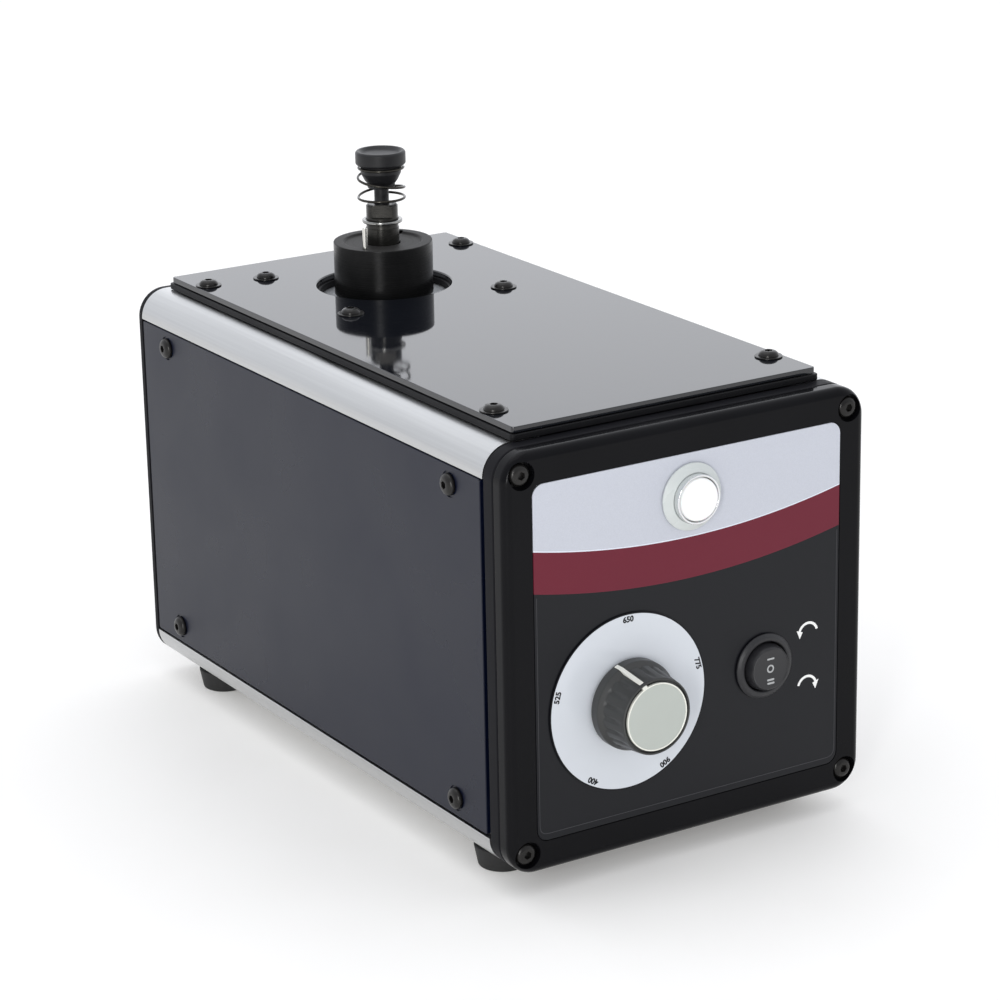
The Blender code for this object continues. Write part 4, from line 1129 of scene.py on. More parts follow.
@dataclass
class FrontLabel:
    """The printed label, the dial plate with its numbers, and the two direction arrows."""

    radius: float = 4.2 * MM
    ink: float = 0.06 * MM
    number_r: float = 28.8 * MM
    number_size: float = 2.0 * MM
    numbers: tuple[tuple[str, float], ...] = (
        ("400", 240), ("525", 165), ("650", 90), ("775", 15), ("900", -60),
    )
    outline_width: float = 0.5 * MM
    arrow_r: float = 3.8 * MM
    arrow_width: float = 0.9 * MM
    arrow_offsets: tuple[tuple[float, float], ...] = ((18.9 * MM, 7.5 * MM), (18.7 * MM, -11.9 * MM))
    border_half: float = 60.6 * MM
    border_foot: float = 59.5 * MM
    border_head: float = 23.5 * MM
    border_r: float = 3.5 * MM
    border_width: float = 0.2 * MM

    def build(self) -> None:
        """Builds label, dial plate, numbers and arrows."""
        casing = Casing()
        low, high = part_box("front_label")
        origin = Vector(((low.x + high.x) / 2, high.y, (low.z + high.z) / 2))
        thick = high.y - low.y
        sheet = slab((high.x - low.x, high.z - low.z, thick), self.radius, 0.12 * MM, 0.05 * MM, 2)
        cutters = [drill(r, -thick, 2 * thick, at, 64) for r, at in casing.control_holes(origin)]
        make_piece(
            "printed_label", worked(sheet, cutters).placed(Facing.FRONT, origin), LABEL, Body.CHASSIS,
            ["front_label"],
        )
        self.dial()
        self.arrows(low.y)
        self.border((origin.x, low.y, front_middle()[1]))

    def border(self, spot: Sequence[float]) -> None:
        """Painted shade: a fine dark line inside the charcoal field's edge, open above where the band crosses it.

        Args:
            spot: the middle of the label's face.
        """
        rows = []
        for inset in (0.0, self.border_width):
            half, foot = self.border_half - inset, self.border_foot - inset
            corners = [(-half, self.border_head), (-half, -foot), (half, -foot), (half, self.border_head)]
            rows.append(filleted(corners, self.border_r - inset, 8))
        outer, inner = rows
        section = ((outer, 0.0), (outer, self.ink / 2), (inner, self.ink / 2), (inner, 0.0))
        columns = [np.column_stack([line, np.full(len(line), level)]) for line, level in section]
        points = np.stack(columns, axis=1)
        count = len(outer)
        ends = [(0, 1, 2, 3), tuple(4 * (count - 1) + index for index in (3, 2, 1, 0))]
        line = Surface(points.reshape(-1, 3), grid_faces(count, 4) + ends)
        # Painted shade along the label's embossed edge, as a thin dark ribbon.
        make_piece("label_edge_shade_line", line.placed(Facing.FRONT, spot), LABEL_EDGE_SHADE, Body.CHASSIS)

    def dial(self) -> None:
        """The dial plate: a thin disc with a dark outline ring and five speeds round its rim."""
        low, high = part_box("dial_plate")
        centre = ((low.x + high.x) / 2, high.y, (low.z + high.z) / 2)
        radius = (high.x - low.x) / 2
        thick = high.y - low.y
        inner = 4.0 * MM
        profile = filleted(
            [(inner, thick), (radius - self.outline_width, thick), (radius - self.outline_width, 0), (inner, 0)],
            0.08 * MM, 2, loop=True,
        )
        make_piece(
            "dial_face", revolved(profile, 160, ring=True).placed(Facing.FRONT, centre), DIAL_WHITE, Body.CHASSIS,
            ["dial_plate"],
        )
        start = radius - self.outline_width + 0.02 * MM
        rim = filleted([(start, thick), (radius, thick), (radius, 0), (start, 0)], 0.05 * MM, 2, loop=True)
        make_piece(
            "dial_outline", revolved(rim, 160, ring=True).placed(Facing.FRONT, centre), BLACK_INK, Body.CHASSIS,
        )
        face = (centre[0], low.y, centre[2])
        for text, angle in self.numbers:
            turn = math.radians(angle)
            figures = lettering(text, self.number_size, self.ink).placed(Facing.UP, (0, 0, 0), angle - 90)
            figures = figures.moved(self.number_r * math.cos(turn), self.number_r * math.sin(turn))
            make_piece(
                f"dial_number_{text}", figures.placed(Facing.FRONT, face), BLACK_INK, Body.CHASSIS
            )

    def arrow(self, flip: int) -> Surface:
        """A bent arrow: a band along an arc, and a three-cornered head at its end.

        The band's edges lie at arrow_r plus and minus half its width, and the head at twice that.

        Args:
            flip: 1 for a head on the left, -1 for its mirror image.

        Returns:
            The arrow as a thin solid.
        """
        angle = np.radians(np.linspace(15, 160, 24))
        half = self.arrow_width / 2
        ray = np.stack([np.cos(angle), np.sin(angle)], axis=-1)
        tip = np.radians(202)
        head = [
            ray[-1] * (self.arrow_r + 3 * half),
            np.array((np.cos(tip), np.sin(tip))) * self.arrow_r,
            ray[-1] * (self.arrow_r - 3 * half),
        ]
        outline = np.concatenate([ray * (self.arrow_r + half), np.array(head), ray[::-1] * (self.arrow_r - half)])
        outline = outline * (flip, 1)
        return extruded(outline if flip > 0 else outline[::-1], 0, self.ink)

    def arrows(self, face_y: float) -> None:
        """The two arrows beside the switch, one for each way of turning.

        Args:
            face_y: where the label's face lies.
        """
        x, _, z = middle_of(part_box("switch_housing"))
        for name, flip, (dx, dz) in zip(("left", "right"), (1, -1), self.arrow_offsets):
            spot = (x + dx, face_y, z + dz)
            make_piece(
                f"turn_{name}_arrow", self.arrow(flip).placed(Facing.FRONT, spot), WHITE_INK, Body.CHASSIS,
            )


@dataclass
class SpeedKnob:
    """The fluted speed knob, its pointer line and its silver cap."""

    skirt_r: float = 15.6 * MM
    body_r: float = 14.3 * MM
    rim_r: float = 13.3 * MM
    flutes: int = 20
    flute_depth: float = 0.05
    pointer_angle: float = 113.0
    pointer_width: float = 1.5 * MM
    pointer_line: tuple[tuple[float, float], ...] = (
        (12.6 * MM, 17.2 * MM), (13.5 * MM, 15.6 * MM), (15.85 * MM, 5.3 * MM), (15.85 * MM, 2.4 * MM),
    )

    def profile(self, front: float, back: float) -> np.ndarray:
        """The knob's side, from the cap's seat out over the rim and down to the skirt.

        Args:
            front: height of the rim above the panel.
            back: height of the skirt's underside.

        Returns:
            The rounded (r, h) line.
        """
        corners = [
            (self.rim_r - 0.9 * MM, front - 1.0 * MM),
            (self.rim_r - 0.7 * MM, front),
            (self.rim_r - 0.1 * MM, front),
            (self.rim_r, front - 1.0 * MM),
            (self.body_r, 6.9 * MM),
            (self.skirt_r - 0.3 * MM, 5.5 * MM),
            (self.skirt_r, 5.0 * MM),
            (self.skirt_r, back),
        ]
        return filleted(corners, 0.35 * MM, 4)

    def ripple(self, profile: np.ndarray, angle: np.ndarray) -> np.ndarray:
        """Flutes: the radius shrinks by depth times a narrow wave, only on the body's own height.

        Args:
            profile: the (r, h) points.
            angle: the angles, shape (1, m).

        Returns:
            The factor on each radius, shape (n, m).
        """
        height = profile[:, 1:]
        rise = np.clip((height - 6.6 * MM) / (0.8 * MM), 0, 1)
        fade = np.clip((16.2 * MM - height) / (4.0 * MM), 0, 1)
        wave = np.clip(np.cos(self.flutes * angle) - 0.2, 0, 1)
        return 1 - self.flute_depth * rise * fade * wave

    def build(self) -> None:
        """Builds knob, pointer and cap."""
        low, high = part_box("speed_knob")
        panel_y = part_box("front_bezel")[0].y
        centre = ((low.x + high.x) / 2, panel_y, (low.z + high.z) / 2)
        front = panel_y - low.y
        back = panel_y - high.y
        side = self.profile(front, back)
        inner = np.array([(3.3 * MM, back), (3.3 * MM, 13.5 * MM), (0, 13.5 * MM)])
        seat = np.array([(0, front - 1.0 * MM)])
        fine = self.resampled(side)
        shape = revolved(np.concatenate([seat, fine, inner]), 240, ripple=self.ripple)
        make_piece(
            "speed_dial_knob", shape.placed(Facing.FRONT, centre), DIAL_KNOB, Body.SPEED_DIAL,
            ["speed_knob"], crease=50,
        )
        self.pointer(centre)
        self.cap(centre)

    def resampled(self, line: np.ndarray, step: float = 0.45 * MM) -> np.ndarray:
        """A line with a point at least every step along it, so that flutes fade smoothly.

        Args:
            line: (r, h) points.
            step: the longest stretch between two points.

        Returns:
            The line with points added.
        """
        length = np.concatenate([[0], np.cumsum(np.linalg.norm(np.diff(line, axis=0), axis=1))])
        even = np.arange(0, length[-1], step)
        spots = np.unique(np.concatenate([length, even]))
        return np.stack([np.interp(spots, length, line[:, axis]) for axis in (0, 1)], axis=-1)

    def pointer(self, centre: Sequence[float]) -> None:
        """The pointer: a straight raised bar from the skirt to the rim, bent over the rim's edge.

        The bar's outer face lies on pointer_line, and its half width grows with the height.

        Args:
            centre: where the dial's axis meets the panel.
        """
        line = self.resampled(filleted(self.pointer_line, 0.4 * MM, 4))
        half = self.pointer_width / 2 * (0.9 + 0.25 * line[:, 1:] / line[:, 1].max())
        across = half * np.array([-1, -0.8, 0.8, 1, 1, -1])
        proud = np.array([-0.12 * MM, 0, 0, -0.12 * MM, -1.6 * MM, -1.6 * MM])
        radius = line[:, :1] + proud[None, :]
        x = np.sqrt(np.maximum(radius**2 - across**2, 0))
        points = np.stack([x, across, line[:, 1:] + 0 * x], axis=-1)
        columns = across.shape[1]
        ends = [tuple(range(columns)), tuple(reversed(range((len(line) - 1) * columns, len(line) * columns)))]
        strip = Surface(points.reshape(-1, 3), grid_faces(len(line), columns) + ends)
        make_piece(
            "speed_pointer", strip.placed(Facing.FRONT, centre, self.pointer_angle), POINTER_WHITE,
            Body.SPEED_DIAL,
        )

    def cap(self, centre: Sequence[float]) -> None:
        """The inlaid cap: a flat silver face inside a thin brighter rim.

        Args:
            centre: where the dial's axis meets the panel.
        """
        low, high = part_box("speed_knob_cap")
        top = centre[1] - low.y
        foot = centre[1] - high.y
        radius = (high.x - low.x) / 2
        lip = 0.55 * MM
        face = [(0, top - 0.10 * MM), (radius - lip, top - 0.10 * MM), (radius - lip, foot), (0, foot)]
        make_piece(
            "speed_cap_face", revolved(filleted(face, 0.05 * MM, 2), 128).placed(Facing.FRONT, centre), CAP_SILVER,
            Body.SPEED_DIAL, ["speed_knob_cap"],
        )
        inner = radius - lip + 0.02 * MM
        rim = filleted([(inner, top), (radius, top), (radius, foot), (inner, foot)], 0.18 * MM, 4, loop=True)
        make_piece(
            "speed_cap_rim", revolved(rim, 128, ring=True).placed(Facing.FRONT, centre), CAP_RIM,
            Body.SPEED_DIAL,
        )


@dataclass
class RockerSwitch:
    """The round switch: a cup with a broad ring, and a rocker with a dished face and its marks."""

    ring_r: float = 11.5 * MM
    cup_r: float = 8.7 * MM
    cup_depth: float = 7.0 * MM
    rocker_r: float = 8.35 * MM
    pivot: float = 0.8 * MM
    dish: float = 0.75 * MM
    mark: float = 0.05 * MM

    def build(self) -> None:
        """Builds the cup, the rocker and the marks."""
        low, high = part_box("switch_housing")
        panel_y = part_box("front_label")[0].y
        centre = ((low.x + high.x) / 2, panel_y, (low.z + high.z) / 2)
        face = panel_y - low.y
        tail = panel_y - high.y
        ring = filleted(
            [
                (self.cup_r, -self.cup_depth),
                (self.cup_r, face - 0.5 * MM),
                (self.cup_r + 0.5 * MM, face),
                (self.ring_r - 1.1 * MM, face - 0.1 * MM),
                (self.ring_r, 0.9 * MM),
                (self.ring_r, 0.3 * MM),
                (10.2 * MM, 0.3 * MM),
                (10.2 * MM, tail),
                (0, tail),
            ],
            0.35 * MM,
        )
        shape = revolved(np.concatenate([np.array([(0, -self.cup_depth)]), ring]), 128)
        make_piece(
            "switch_cup", shape.placed(Facing.FRONT, centre), SWITCH_BLACK, Body.CHASSIS,
            ["switch_housing"],
        )
        self.rocker(centre)

    def face_height(self, x: np.ndarray, y: np.ndarray, front: float) -> np.ndarray:
        """The dished face: front - dish (1 - (y / r)(y / r)), deepest along the pivot's line."""
        return front - self.dish * (1 - (y / self.rocker_r) ** 2) + 0 * x

    def rocker(self, centre: Sequence[float]) -> None:
        """The rocker: a slice of a ball about the pivot, with a face that dips across the middle.

        Args:
            centre: where the switch's axis meets the panel.
        """
        low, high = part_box("switch_rocker")
        front = centre[1] - low.y - self.pivot
        back = centre[1] - high.y - self.pivot
        first = math.asin(front / self.rocker_r)
        last = math.asin(back / self.rocker_r)
        angle = np.linspace(first, last, 24)
        side = self.rocker_r * np.stack([np.cos(angle), np.sin(angle)], axis=-1)
        side[:3, 0] -= np.array([0.35, 0.12, 0.02]) * MM
        face_r = np.linspace(0, side[0, 0] - 0.1 * MM, 14)
        face = np.stack([face_r, np.full(14, front)], axis=-1)
        profile = np.concatenate([face, side, np.array([(0, back)])])
        shape = revolved(profile, 128)
        x, y, z = shape.points.T
        on_face = z > front - 1e-6
        sunk = self.face_height(x, y, front)
        shape.points[:, 2] = np.where(on_face, sunk, z)
        spot = (centre[0], centre[1] - self.pivot, centre[2])
        make_piece(
            "rocker_cap", shape.placed(Facing.FRONT, spot), ROCKER_BLACK, Body.ROCKER,
            ["switch_rocker"], crease=40,
        )
        self.marks(spot, front)

    def marks(self, spot: Sequence[float], front: float) -> None:
        """A bar above, a ring in the middle and two bars below, lying on the dished face.

        Args:
            spot: the rocker's pivot.
            front: the face's height above it.
        """
        bar = round_box(1.45 * MM, 0.32 * MM, 0.2 * MM, 4)
        one = extruded(bar, 0, self.mark).moved(0, 3.6 * MM)
        two = extruded(bar, 0, self.mark).moved(0, -3.9 * MM).joined(extruded(bar, 0, self.mark).moved(0, -5.1 * MM))
        ring = [(0.9 * MM, self.mark), (1.45 * MM, self.mark), (1.45 * MM, 0), (0.9 * MM, 0)]
        off = revolved(np.array(ring), 40, ring=True)
        for name, shape in (("on_one", one), ("off", off), ("on_two", two)):
            x, y, z = shape.points.T
            shape.points[:, 2] = z + self.face_height(x, y, front)
            make_piece(
                f"switch_mark_{name}", shape.placed(Facing.FRONT, spot), MARK_INK, Body.ROCKER
            )


@dataclass
class PushButton:
    """The white push button: a sloped ring, a thin bright collar and a lit lens."""

    ring_r: float = 11.6 * MM
    cup_r: float = 7.7 * MM
    collar_r: float = 8.5 * MM
    seat: float = 1.9 * MM
    hole_r: float = 9.2 * MM

    def build(self) -> None:
        """Builds ring and lens."""
        low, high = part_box("button_housing")
        panel_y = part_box("front_label")[0].y
        centre = ((low.x + high.x) / 2, panel_y, (low.z + high.z) / 2)
        face = panel_y - low.y
        tail = panel_y - high.y
        ring = filleted(
            [
                (self.cup_r, -4.9 * MM),
                (self.cup_r, self.seat),
                (self.collar_r, self.seat),
                (self.collar_r, 2.7 * MM),
                (self.collar_r + 0.4 * MM, 2.8 * MM),
                (self.ring_r, 1.0 * MM),
                (self.ring_r, 0.3 * MM),
                (self.hole_r, 0.3 * MM),
                (self.hole_r, tail),
                (0, tail),
            ],
            0.3 * MM,
        )
        shape = revolved(np.concatenate([np.array([(0, -4.9 * MM)]), ring]), 128)
        make_piece(
            "button_body", shape.placed(Facing.FRONT, centre), BUTTON_WHITE, Body.CHASSIS,
            ["button_housing"],
        )
        low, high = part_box("button_lens")
        radius = (high.x - low.x) / 2
        front = centre[1] - low.y
        back = centre[1] - high.y
        lens = filleted(
            [
                (0, front),
                (radius - 2.2 * MM, front - 0.15 * MM),
                (radius - 0.5 * MM, front - 0.9 * MM),
                (radius, front - 2.0 * MM),
                (radius, back),
                (0, back),
            ],
            0.7 * MM,
            6,
        )
        make_piece(
            "button_cap", revolved(lens, 128).placed(Facing.FRONT, centre), LENS_WHITE, Body.BUTTON,
            ["button_lens"],
        )
        inner, outer = self.cup_r + 0.02 * MM, self.collar_r - 0.02 * MM
        foot = self.seat + 0.05 * MM
        collar = filleted([(inner, face), (outer, face), (outer, foot), (inner, foot)], 0.25 * MM, 4, loop=True)
        make_piece(
            "button_collar", revolved(collar, 128, ring=True).placed(Facing.FRONT, centre), CHROME, Body.CHASSIS,
        )


@dataclass
class Spindle:
    """What turns and shows: hub, drive pin, shaft and ring. Heights are above the deck."""

    hub_r: float = 18.4 * MM
    hub_top: float = 16.4 * MM
    hub_foot: float = -3.5 * MM
    dish_r: float = 14.4 * MM
    dish_depth: float = 0.8 * MM
    bore_r: float = 6.45 * MM
    pin_r: float = 1.0 * MM
    shaft_r: float = 6.15 * MM
    shaft_top_r: float = 5.88 * MM
    collar_r: float = 5.92 * MM
    collar_foot: float = 21.5 * MM
    shoulder: float = 23.1 * MM
    shaft_top: float = 30.4 * MM
    stem_bore_r: float = 3.0 * MM
    flats: int = 2
    flat_reach: float = 4.3 * MM
    flat_angle: float = -123.0

    def build(self) -> None:
        """Builds hub, pin, shaft and ring."""
        x, y = spindle_spot()
        centre = (x, y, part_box("top_plate")[1].z)
        pin_low, pin_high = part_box("drive_pin")
        pin_at = ((pin_low.x + pin_high.x) / 2 - x, (pin_low.y + pin_high.y) / 2 - y)
        self.hub(centre, pin_at)
        top = pin_high.z - centre[2]
        foot = pin_low.z - centre[2]
        pin = filleted([(0, top), (self.pin_r, top), (self.pin_r, foot), (0, foot)], 0.25 * MM, 3)
        make_piece(
            "key_pin", revolved(pin, 40).moved(*pin_at).placed(Facing.UP, centre), BRIGHT_STEEL, Body.SPINDLE,
            ["drive_pin"],
        )
        self.shaft(centre)
        self.ring(centre)

    def hub(self, centre: Sequence[float], pin_at: Sequence[float]) -> None:
        """The hub: a black drum with two pin holes in its raised rim, and painted light on every face that points up.

        Args:
            centre: where the axis meets the deck.
            pin_at: the pin's place about it.
        """
        dish = self.hub_top - self.dish_depth
        section = filleted(
            [
                (self.bore_r, dish),
                (self.dish_r - 0.3 * MM, dish),
                (self.dish_r + 0.3 * MM, self.hub_top),
                (self.hub_r, self.hub_top),
                (self.hub_r, self.hub_foot),
                (self.bore_r, self.hub_foot),
            ],
            0.45 * MM, 4, loop=True,
        )
        depth = self.hub_top - 8.5 * MM
        holes = [drill(1.3 * MM, depth, self.hub_top + 1 * MM, (s * pin_at[0], s * pin_at[1]), 32) for s in (1, -1)]
        shape = worked(revolved(section, 160, ring=True), holes).placed(Facing.UP, centre)
        hub = make_piece("disc_hub", shape, HUB_BLACK, Body.SPINDLE, ["drive_hub"])
        # Painted light: every face that points up, rim top and dish alike, takes the paler copy of the hub's finish.
        hub.data.materials.append(HUB_TOP_LIT.material())
        level = centre[2] + dish - 0.2 * MM
        for polygon in hub.data.polygons:
            if polygon.normal.z > 0.6 and polygon.center.z > level:
                polygon.material_index = 1

    def shaft(self, centre: Sequence[float]) -> None:
        """The shaft: a plain lower journal, a shoulder, and an upper part with flats milled on it.

        Args:
            centre: where the axis meets the deck.
        """
        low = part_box("spindle_shaft")[0]
        tail = low.z - centre[2]
        line = [
            (self.stem_bore_r, 5.0 * MM),
            (self.stem_bore_r, self.shaft_top),
            (self.shaft_top_r - 0.7 * MM, self.shaft_top),
            (self.shaft_top_r, self.shaft_top - 0.7 * MM),
            (self.shaft_top_r, self.shoulder + 0.02 * MM),
            (self.collar_r, self.shoulder - 0.02 * MM),
            (self.collar_r, self.collar_foot + 0.02 * MM),
            (self.shaft_r, self.collar_foot - 0.02 * MM),
            (self.shaft_r, tail + 8.2 * MM),
            (4.0 * MM, tail + 7.8 * MM),
            (4.0 * MM, tail),
            (0, tail),
        ]
        profile = np.concatenate([np.array([(0, 5.0 * MM)]), filleted(line, 0.12 * MM, 3)])

        def mill(points: np.ndarray, angle: np.ndarray) -> np.ndarray:
            """Flats: the radius is at most flat_reach over the cosine of the angle from a flat's middle.

            Args:
                points: the (r, h) profile.
                angle: the angles, shape (1, m).

            Returns:
                The factor on each radius.
            """
            sector = 2 * np.pi / self.flats
            offset = (angle - math.radians(self.flat_angle) + sector / 2) % sector - sector / 2
            limit = self.flat_reach / np.cos(offset)
            height = points[:, 1:]
            flat = height > self.shoulder + 2.4 * MM
            return np.where(flat & (points[:, :1] > 5 * MM), np.minimum(1, limit / points[:, :1]), 1.0)

        heights = np.linspace(self.shaft_top - 1.0 * MM, self.shoulder + 0.3 * MM, 24)
        extra = np.stack([np.full(24, self.shaft_top_r), heights], axis=-1)
        upper = profile[:, 1] > self.shaft_top - 0.9 * MM
        first = int(np.nonzero(upper)[0][-1]) + 1
        profile = np.concatenate([profile[:first], extra, profile[first:]])
        make_piece(
            "spindle_post", revolved(profile, 144, ripple=mill).placed(Facing.UP, centre), SPINDLE_BLACK,
            Body.SPINDLE, ["spindle_shaft"], crease=20,
        )

    def ring(self, centre: Sequence[float]) -> None:
        """The bright ring on the shoulder, with its edges rounded.

        Args:
            centre: where the axis meets the deck.
        """
        low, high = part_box("retaining_ring")
        outer = (high.x - low.x) / 2
        top = high.z - centre[2]
        foot = low.z - centre[2]
        inner = self.shaft_top_r + 0.3 * MM
        section = filleted([(inner, top), (outer, top), (outer, foot), (inner, foot)], 0.4 * MM, 4, loop=True)
        make_piece(
            "shoulder_ring", revolved(section, 96, ring=True).placed(Facing.UP, centre), RING_STEEL, Body.SPINDLE,
            ["retaining_ring"],
        )


@dataclass
class HoldDown:
    """The knob on its stem, and the black spring that hangs from it. Heights are above the deck."""

    knob_r: float = 9.3 * MM
    neck_r: float = 7.5 * MM
    step: float = 44.9 * MM
    knob_top: float = 50.3 * MM
    stem_r: float = 2.7 * MM
    wire_r: float = 0.48 * MM
    grip_r: float = 8.2 * MM
    coil_r: float = 8.55 * MM
    coil_top: float = 43.9 * MM
    coil_foot: float = 32.6 * MM
    grip_turns: float = 0.75
    fall_turns: float = 1.5
    flat_turns: float = 0.7
    start: float = -31.0

    def build(self) -> None:
        """Builds knob, stem and spring."""
        x, y = spindle_spot()
        centre = (x, y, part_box("top_plate")[1].z)
        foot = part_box("hold_down_knob")[0].z - centre[2]
        line = [
            (0, self.knob_top - 1.4 * MM),
            (self.knob_r - 2.6 * MM, self.knob_top - 1.2 * MM),
            (self.knob_r - 1.3 * MM, self.knob_top - 0.1 * MM),
            (self.knob_r - 0.6 * MM, self.knob_top),
            (self.knob_r, self.knob_top - 0.7 * MM),
            (self.knob_r, self.step + 0.7 * MM),
            (self.knob_r - 0.7 * MM, self.step),
            (self.neck_r, self.step),
            (self.neck_r, self.step - 2.8 * MM),
            (self.neck_r - 1.3 * MM, self.step - 5.5 * MM),
            (5.1 * MM, self.step - 6.9 * MM),
            (5.1 * MM, 36.45 * MM),
            (self.stem_r, 36.45 * MM),
            (self.stem_r, foot),
            (0, foot),
        ]
        make_piece(
            "pressing_knob", revolved(filleted(line, 0.3 * MM, 5), 128).placed(Facing.UP, centre), KNOB_BLACK,
            Body.HOLD_DOWN, ["hold_down_knob"], crease=40,
        )
        self.spring(centre)

    def route(self, samples: int = 240) -> np.ndarray:
        """The wire's middle line: (r cos a, r sin a, h), where r widens and h falls with the turns.

        Args:
            samples: points along it.

        Returns:
            The line, shape (samples, 3).
        """
        turn = np.linspace(-self.grip_turns, self.fall_turns + self.flat_turns, samples)
        fall = np.clip(turn / self.fall_turns, 0, 1)
        spread = np.clip(turn + 0.5, 0, 1)
        radius = self.grip_r + (self.coil_r - self.grip_r) * spread
        angle = math.radians(self.start) + 2 * np.pi * turn
        height = self.coil_top + (self.coil_foot - self.coil_top) * fall
        return np.stack([radius * np.cos(angle), radius * np.sin(angle), height], axis=-1)

    def spring(self, centre: Sequence[float]) -> None:
        """The coil: a circle of wire carried square to its line, with its two ends closed.

        Each ring's points are p + wire_r (n cos b + m sin b), where n points out from the axis and m is
        square to both n and the line.

        Args:
            centre: where the axis meets the deck.
        """
        line = self.route()
        along = np.gradient(line, axis=0)
        along /= np.linalg.norm(along, axis=1, keepdims=True)
        out = line * (1, 1, 0)
        out /= np.linalg.norm(out, axis=1, keepdims=True)
        side = np.cross(along, out)
        side /= np.linalg.norm(side, axis=1, keepdims=True)
        out = np.cross(side, along)
        b = np.linspace(0, 2 * np.pi, 14, endpoint=False)[None, :, None]
        rings = line[:, None, :] + self.wire_r * (out[:, None, :] * np.cos(b) + side[:, None, :] * np.sin(b))
        rows, columns = rings.shape[:2]
        ends = [tuple(reversed(range(columns))), tuple(range((rows - 1) * columns, rows * columns))]
        tube = Surface(rings.reshape(-1, 3), grid_faces(rows, columns) + ends)
        make_piece(
            "pressing_spring", tube.placed(Facing.UP, centre), SPRING_BLACK, Body.HOLD_DOWN,
            ["hold_down_spring"], crease=50,
        )


@dataclass
class Fasteners:
    """Every button-head screw: domed head, hex socket, plain shank."""

    head_r: float = 3.8 * MM
    head_h: float = 2.2 * MM
    shank_r: float = 1.9 * MM
    socket: float = 2.5 * MM
    socket_depth: float = 1.3 * MM
    lip: float = 0.45 * MM
    flanged_head_r: float = 3.5 * MM
    flange_r: float = 4.8 * MM
    deck_gap: float = 0.25 * MM

    def screw(self, length: float, head_r: float, flange_r: float) -> Surface:
        """One screw: the head's dome is a quarter ellipse from the crown to the rim.

        Args:
            length: its shank's length.
            head_r: the dome's radius at its foot.
            flange_r: the radius of the lip below it.

        Returns:
            The screw along z, its seat at z = 0.
        """
        crown = head_r * 0.42
        angle = np.linspace(np.pi / 2, 0.12, 10)
        dome = np.stack(
            [crown + (head_r - crown) * np.cos(angle), self.lip + (self.head_h - self.lip) * np.sin(angle)], axis=-1
        )
        under = filleted(
            [
                (head_r, self.lip),
                (flange_r, self.lip - 0.02 * MM),
                (flange_r, 0),
                (self.shank_r, 0),
                (self.shank_r, -length + 0.4 * MM),
                (self.shank_r - 0.4 * MM, -length),
                (0, -length),
            ],
            0.12 * MM,
            2,
        )
        blank = revolved(np.concatenate([np.array([(0, self.head_h)]), dome, under]), 48)
        corner = self.socket / math.sqrt(3)
        key = extruded(disc_outline(corner, 6), self.head_h - self.socket_depth, self.head_h + 1 * MM)
        return worked(blank, [key])

    def build(self) -> None:
        """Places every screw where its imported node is, and adds the rear and foot ones."""
        short = self.screw(6.5 * MM, self.head_r, self.head_r)
        long = self.screw(20.0 * MM, self.head_r, self.head_r)
        flanged = self.screw(8.0 * MM, self.flanged_head_r, self.flange_r)
        for number in range(1, 5):
            for kind, facing, shape in (
                ("front_screw", Facing.FRONT, long),
                ("left_side_screw", Facing.LEFT, short),
                ("right_side_screw", Facing.RIGHT, short),
                ("top_screw", Facing.UP, flanged),
                ("motor_screw", Facing.UP, flanged),
            ):
                self.place(f"{kind}_{number}", facing, shape, 17.0 * number)
        self.rear_screws()
        self.foot_screws()

    def place(self, node: str, facing: Facing, shape: Surface, spin: float) -> None:
        """Puts a screw in its node's place, its head's top where the node's is, or on the deck.

        Args:
            node: the screw's node.
            facing: where its head points.
            shape: the screw.
            spin: its turn about its own axis, in degrees.
        """
        low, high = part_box(node)
        middle = (low + high) / 2
        seat = {
            Facing.FRONT: Vector((middle.x, low.y + self.head_h, middle.z)),
            Facing.LEFT: Vector((low.x + self.head_h, middle.y, middle.z)),
            Facing.RIGHT: Vector((high.x - self.head_h, middle.y, middle.z)),
            Facing.UP: Vector((middle.x, middle.y, high.z - self.head_h - self.deck_gap)),
        }[facing]
        make_piece(
            f"{node}_button_head", shape.placed(facing, seat, spin), BLACKENED, Body.CHASSIS,
            [node],
        )

    def rear_screws(self) -> None:
        """Four screws through the rear sheet into the rails."""
        shape = self.screw(8.0 * MM, self.head_r, self.head_r)
        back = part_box("rear_panel")[1].y + 0.05 * MM
        for number in range(1, 5):
            x, _, z = middle_of(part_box(f"front_screw_{number}"))
            seat = (x, back, z)
            make_piece(
                f"rear_screw_{number}_button_head", shape.placed(Facing.REAR, seat, 23.0 * number), BLACKENED,
                Body.CHASSIS,
            )

    def foot_screws(self) -> None:
        """A screw up through each foot, its head inside the foot's recess."""
        shape = self.screw(8.0 * MM, self.head_r, self.head_r)
        for name in ("front_left", "front_right", "rear_left", "rear_right"):
            low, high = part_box(f"{name}_foot")
            seat = ((low.x + high.x) / 2, (low.y + high.y) / 2, low.z + 2.9 * MM)
            make_piece(
                f"{name}_foot_screw", shape.placed(Facing.DOWN, seat), BLACKENED, Body.CHASSIS
            )


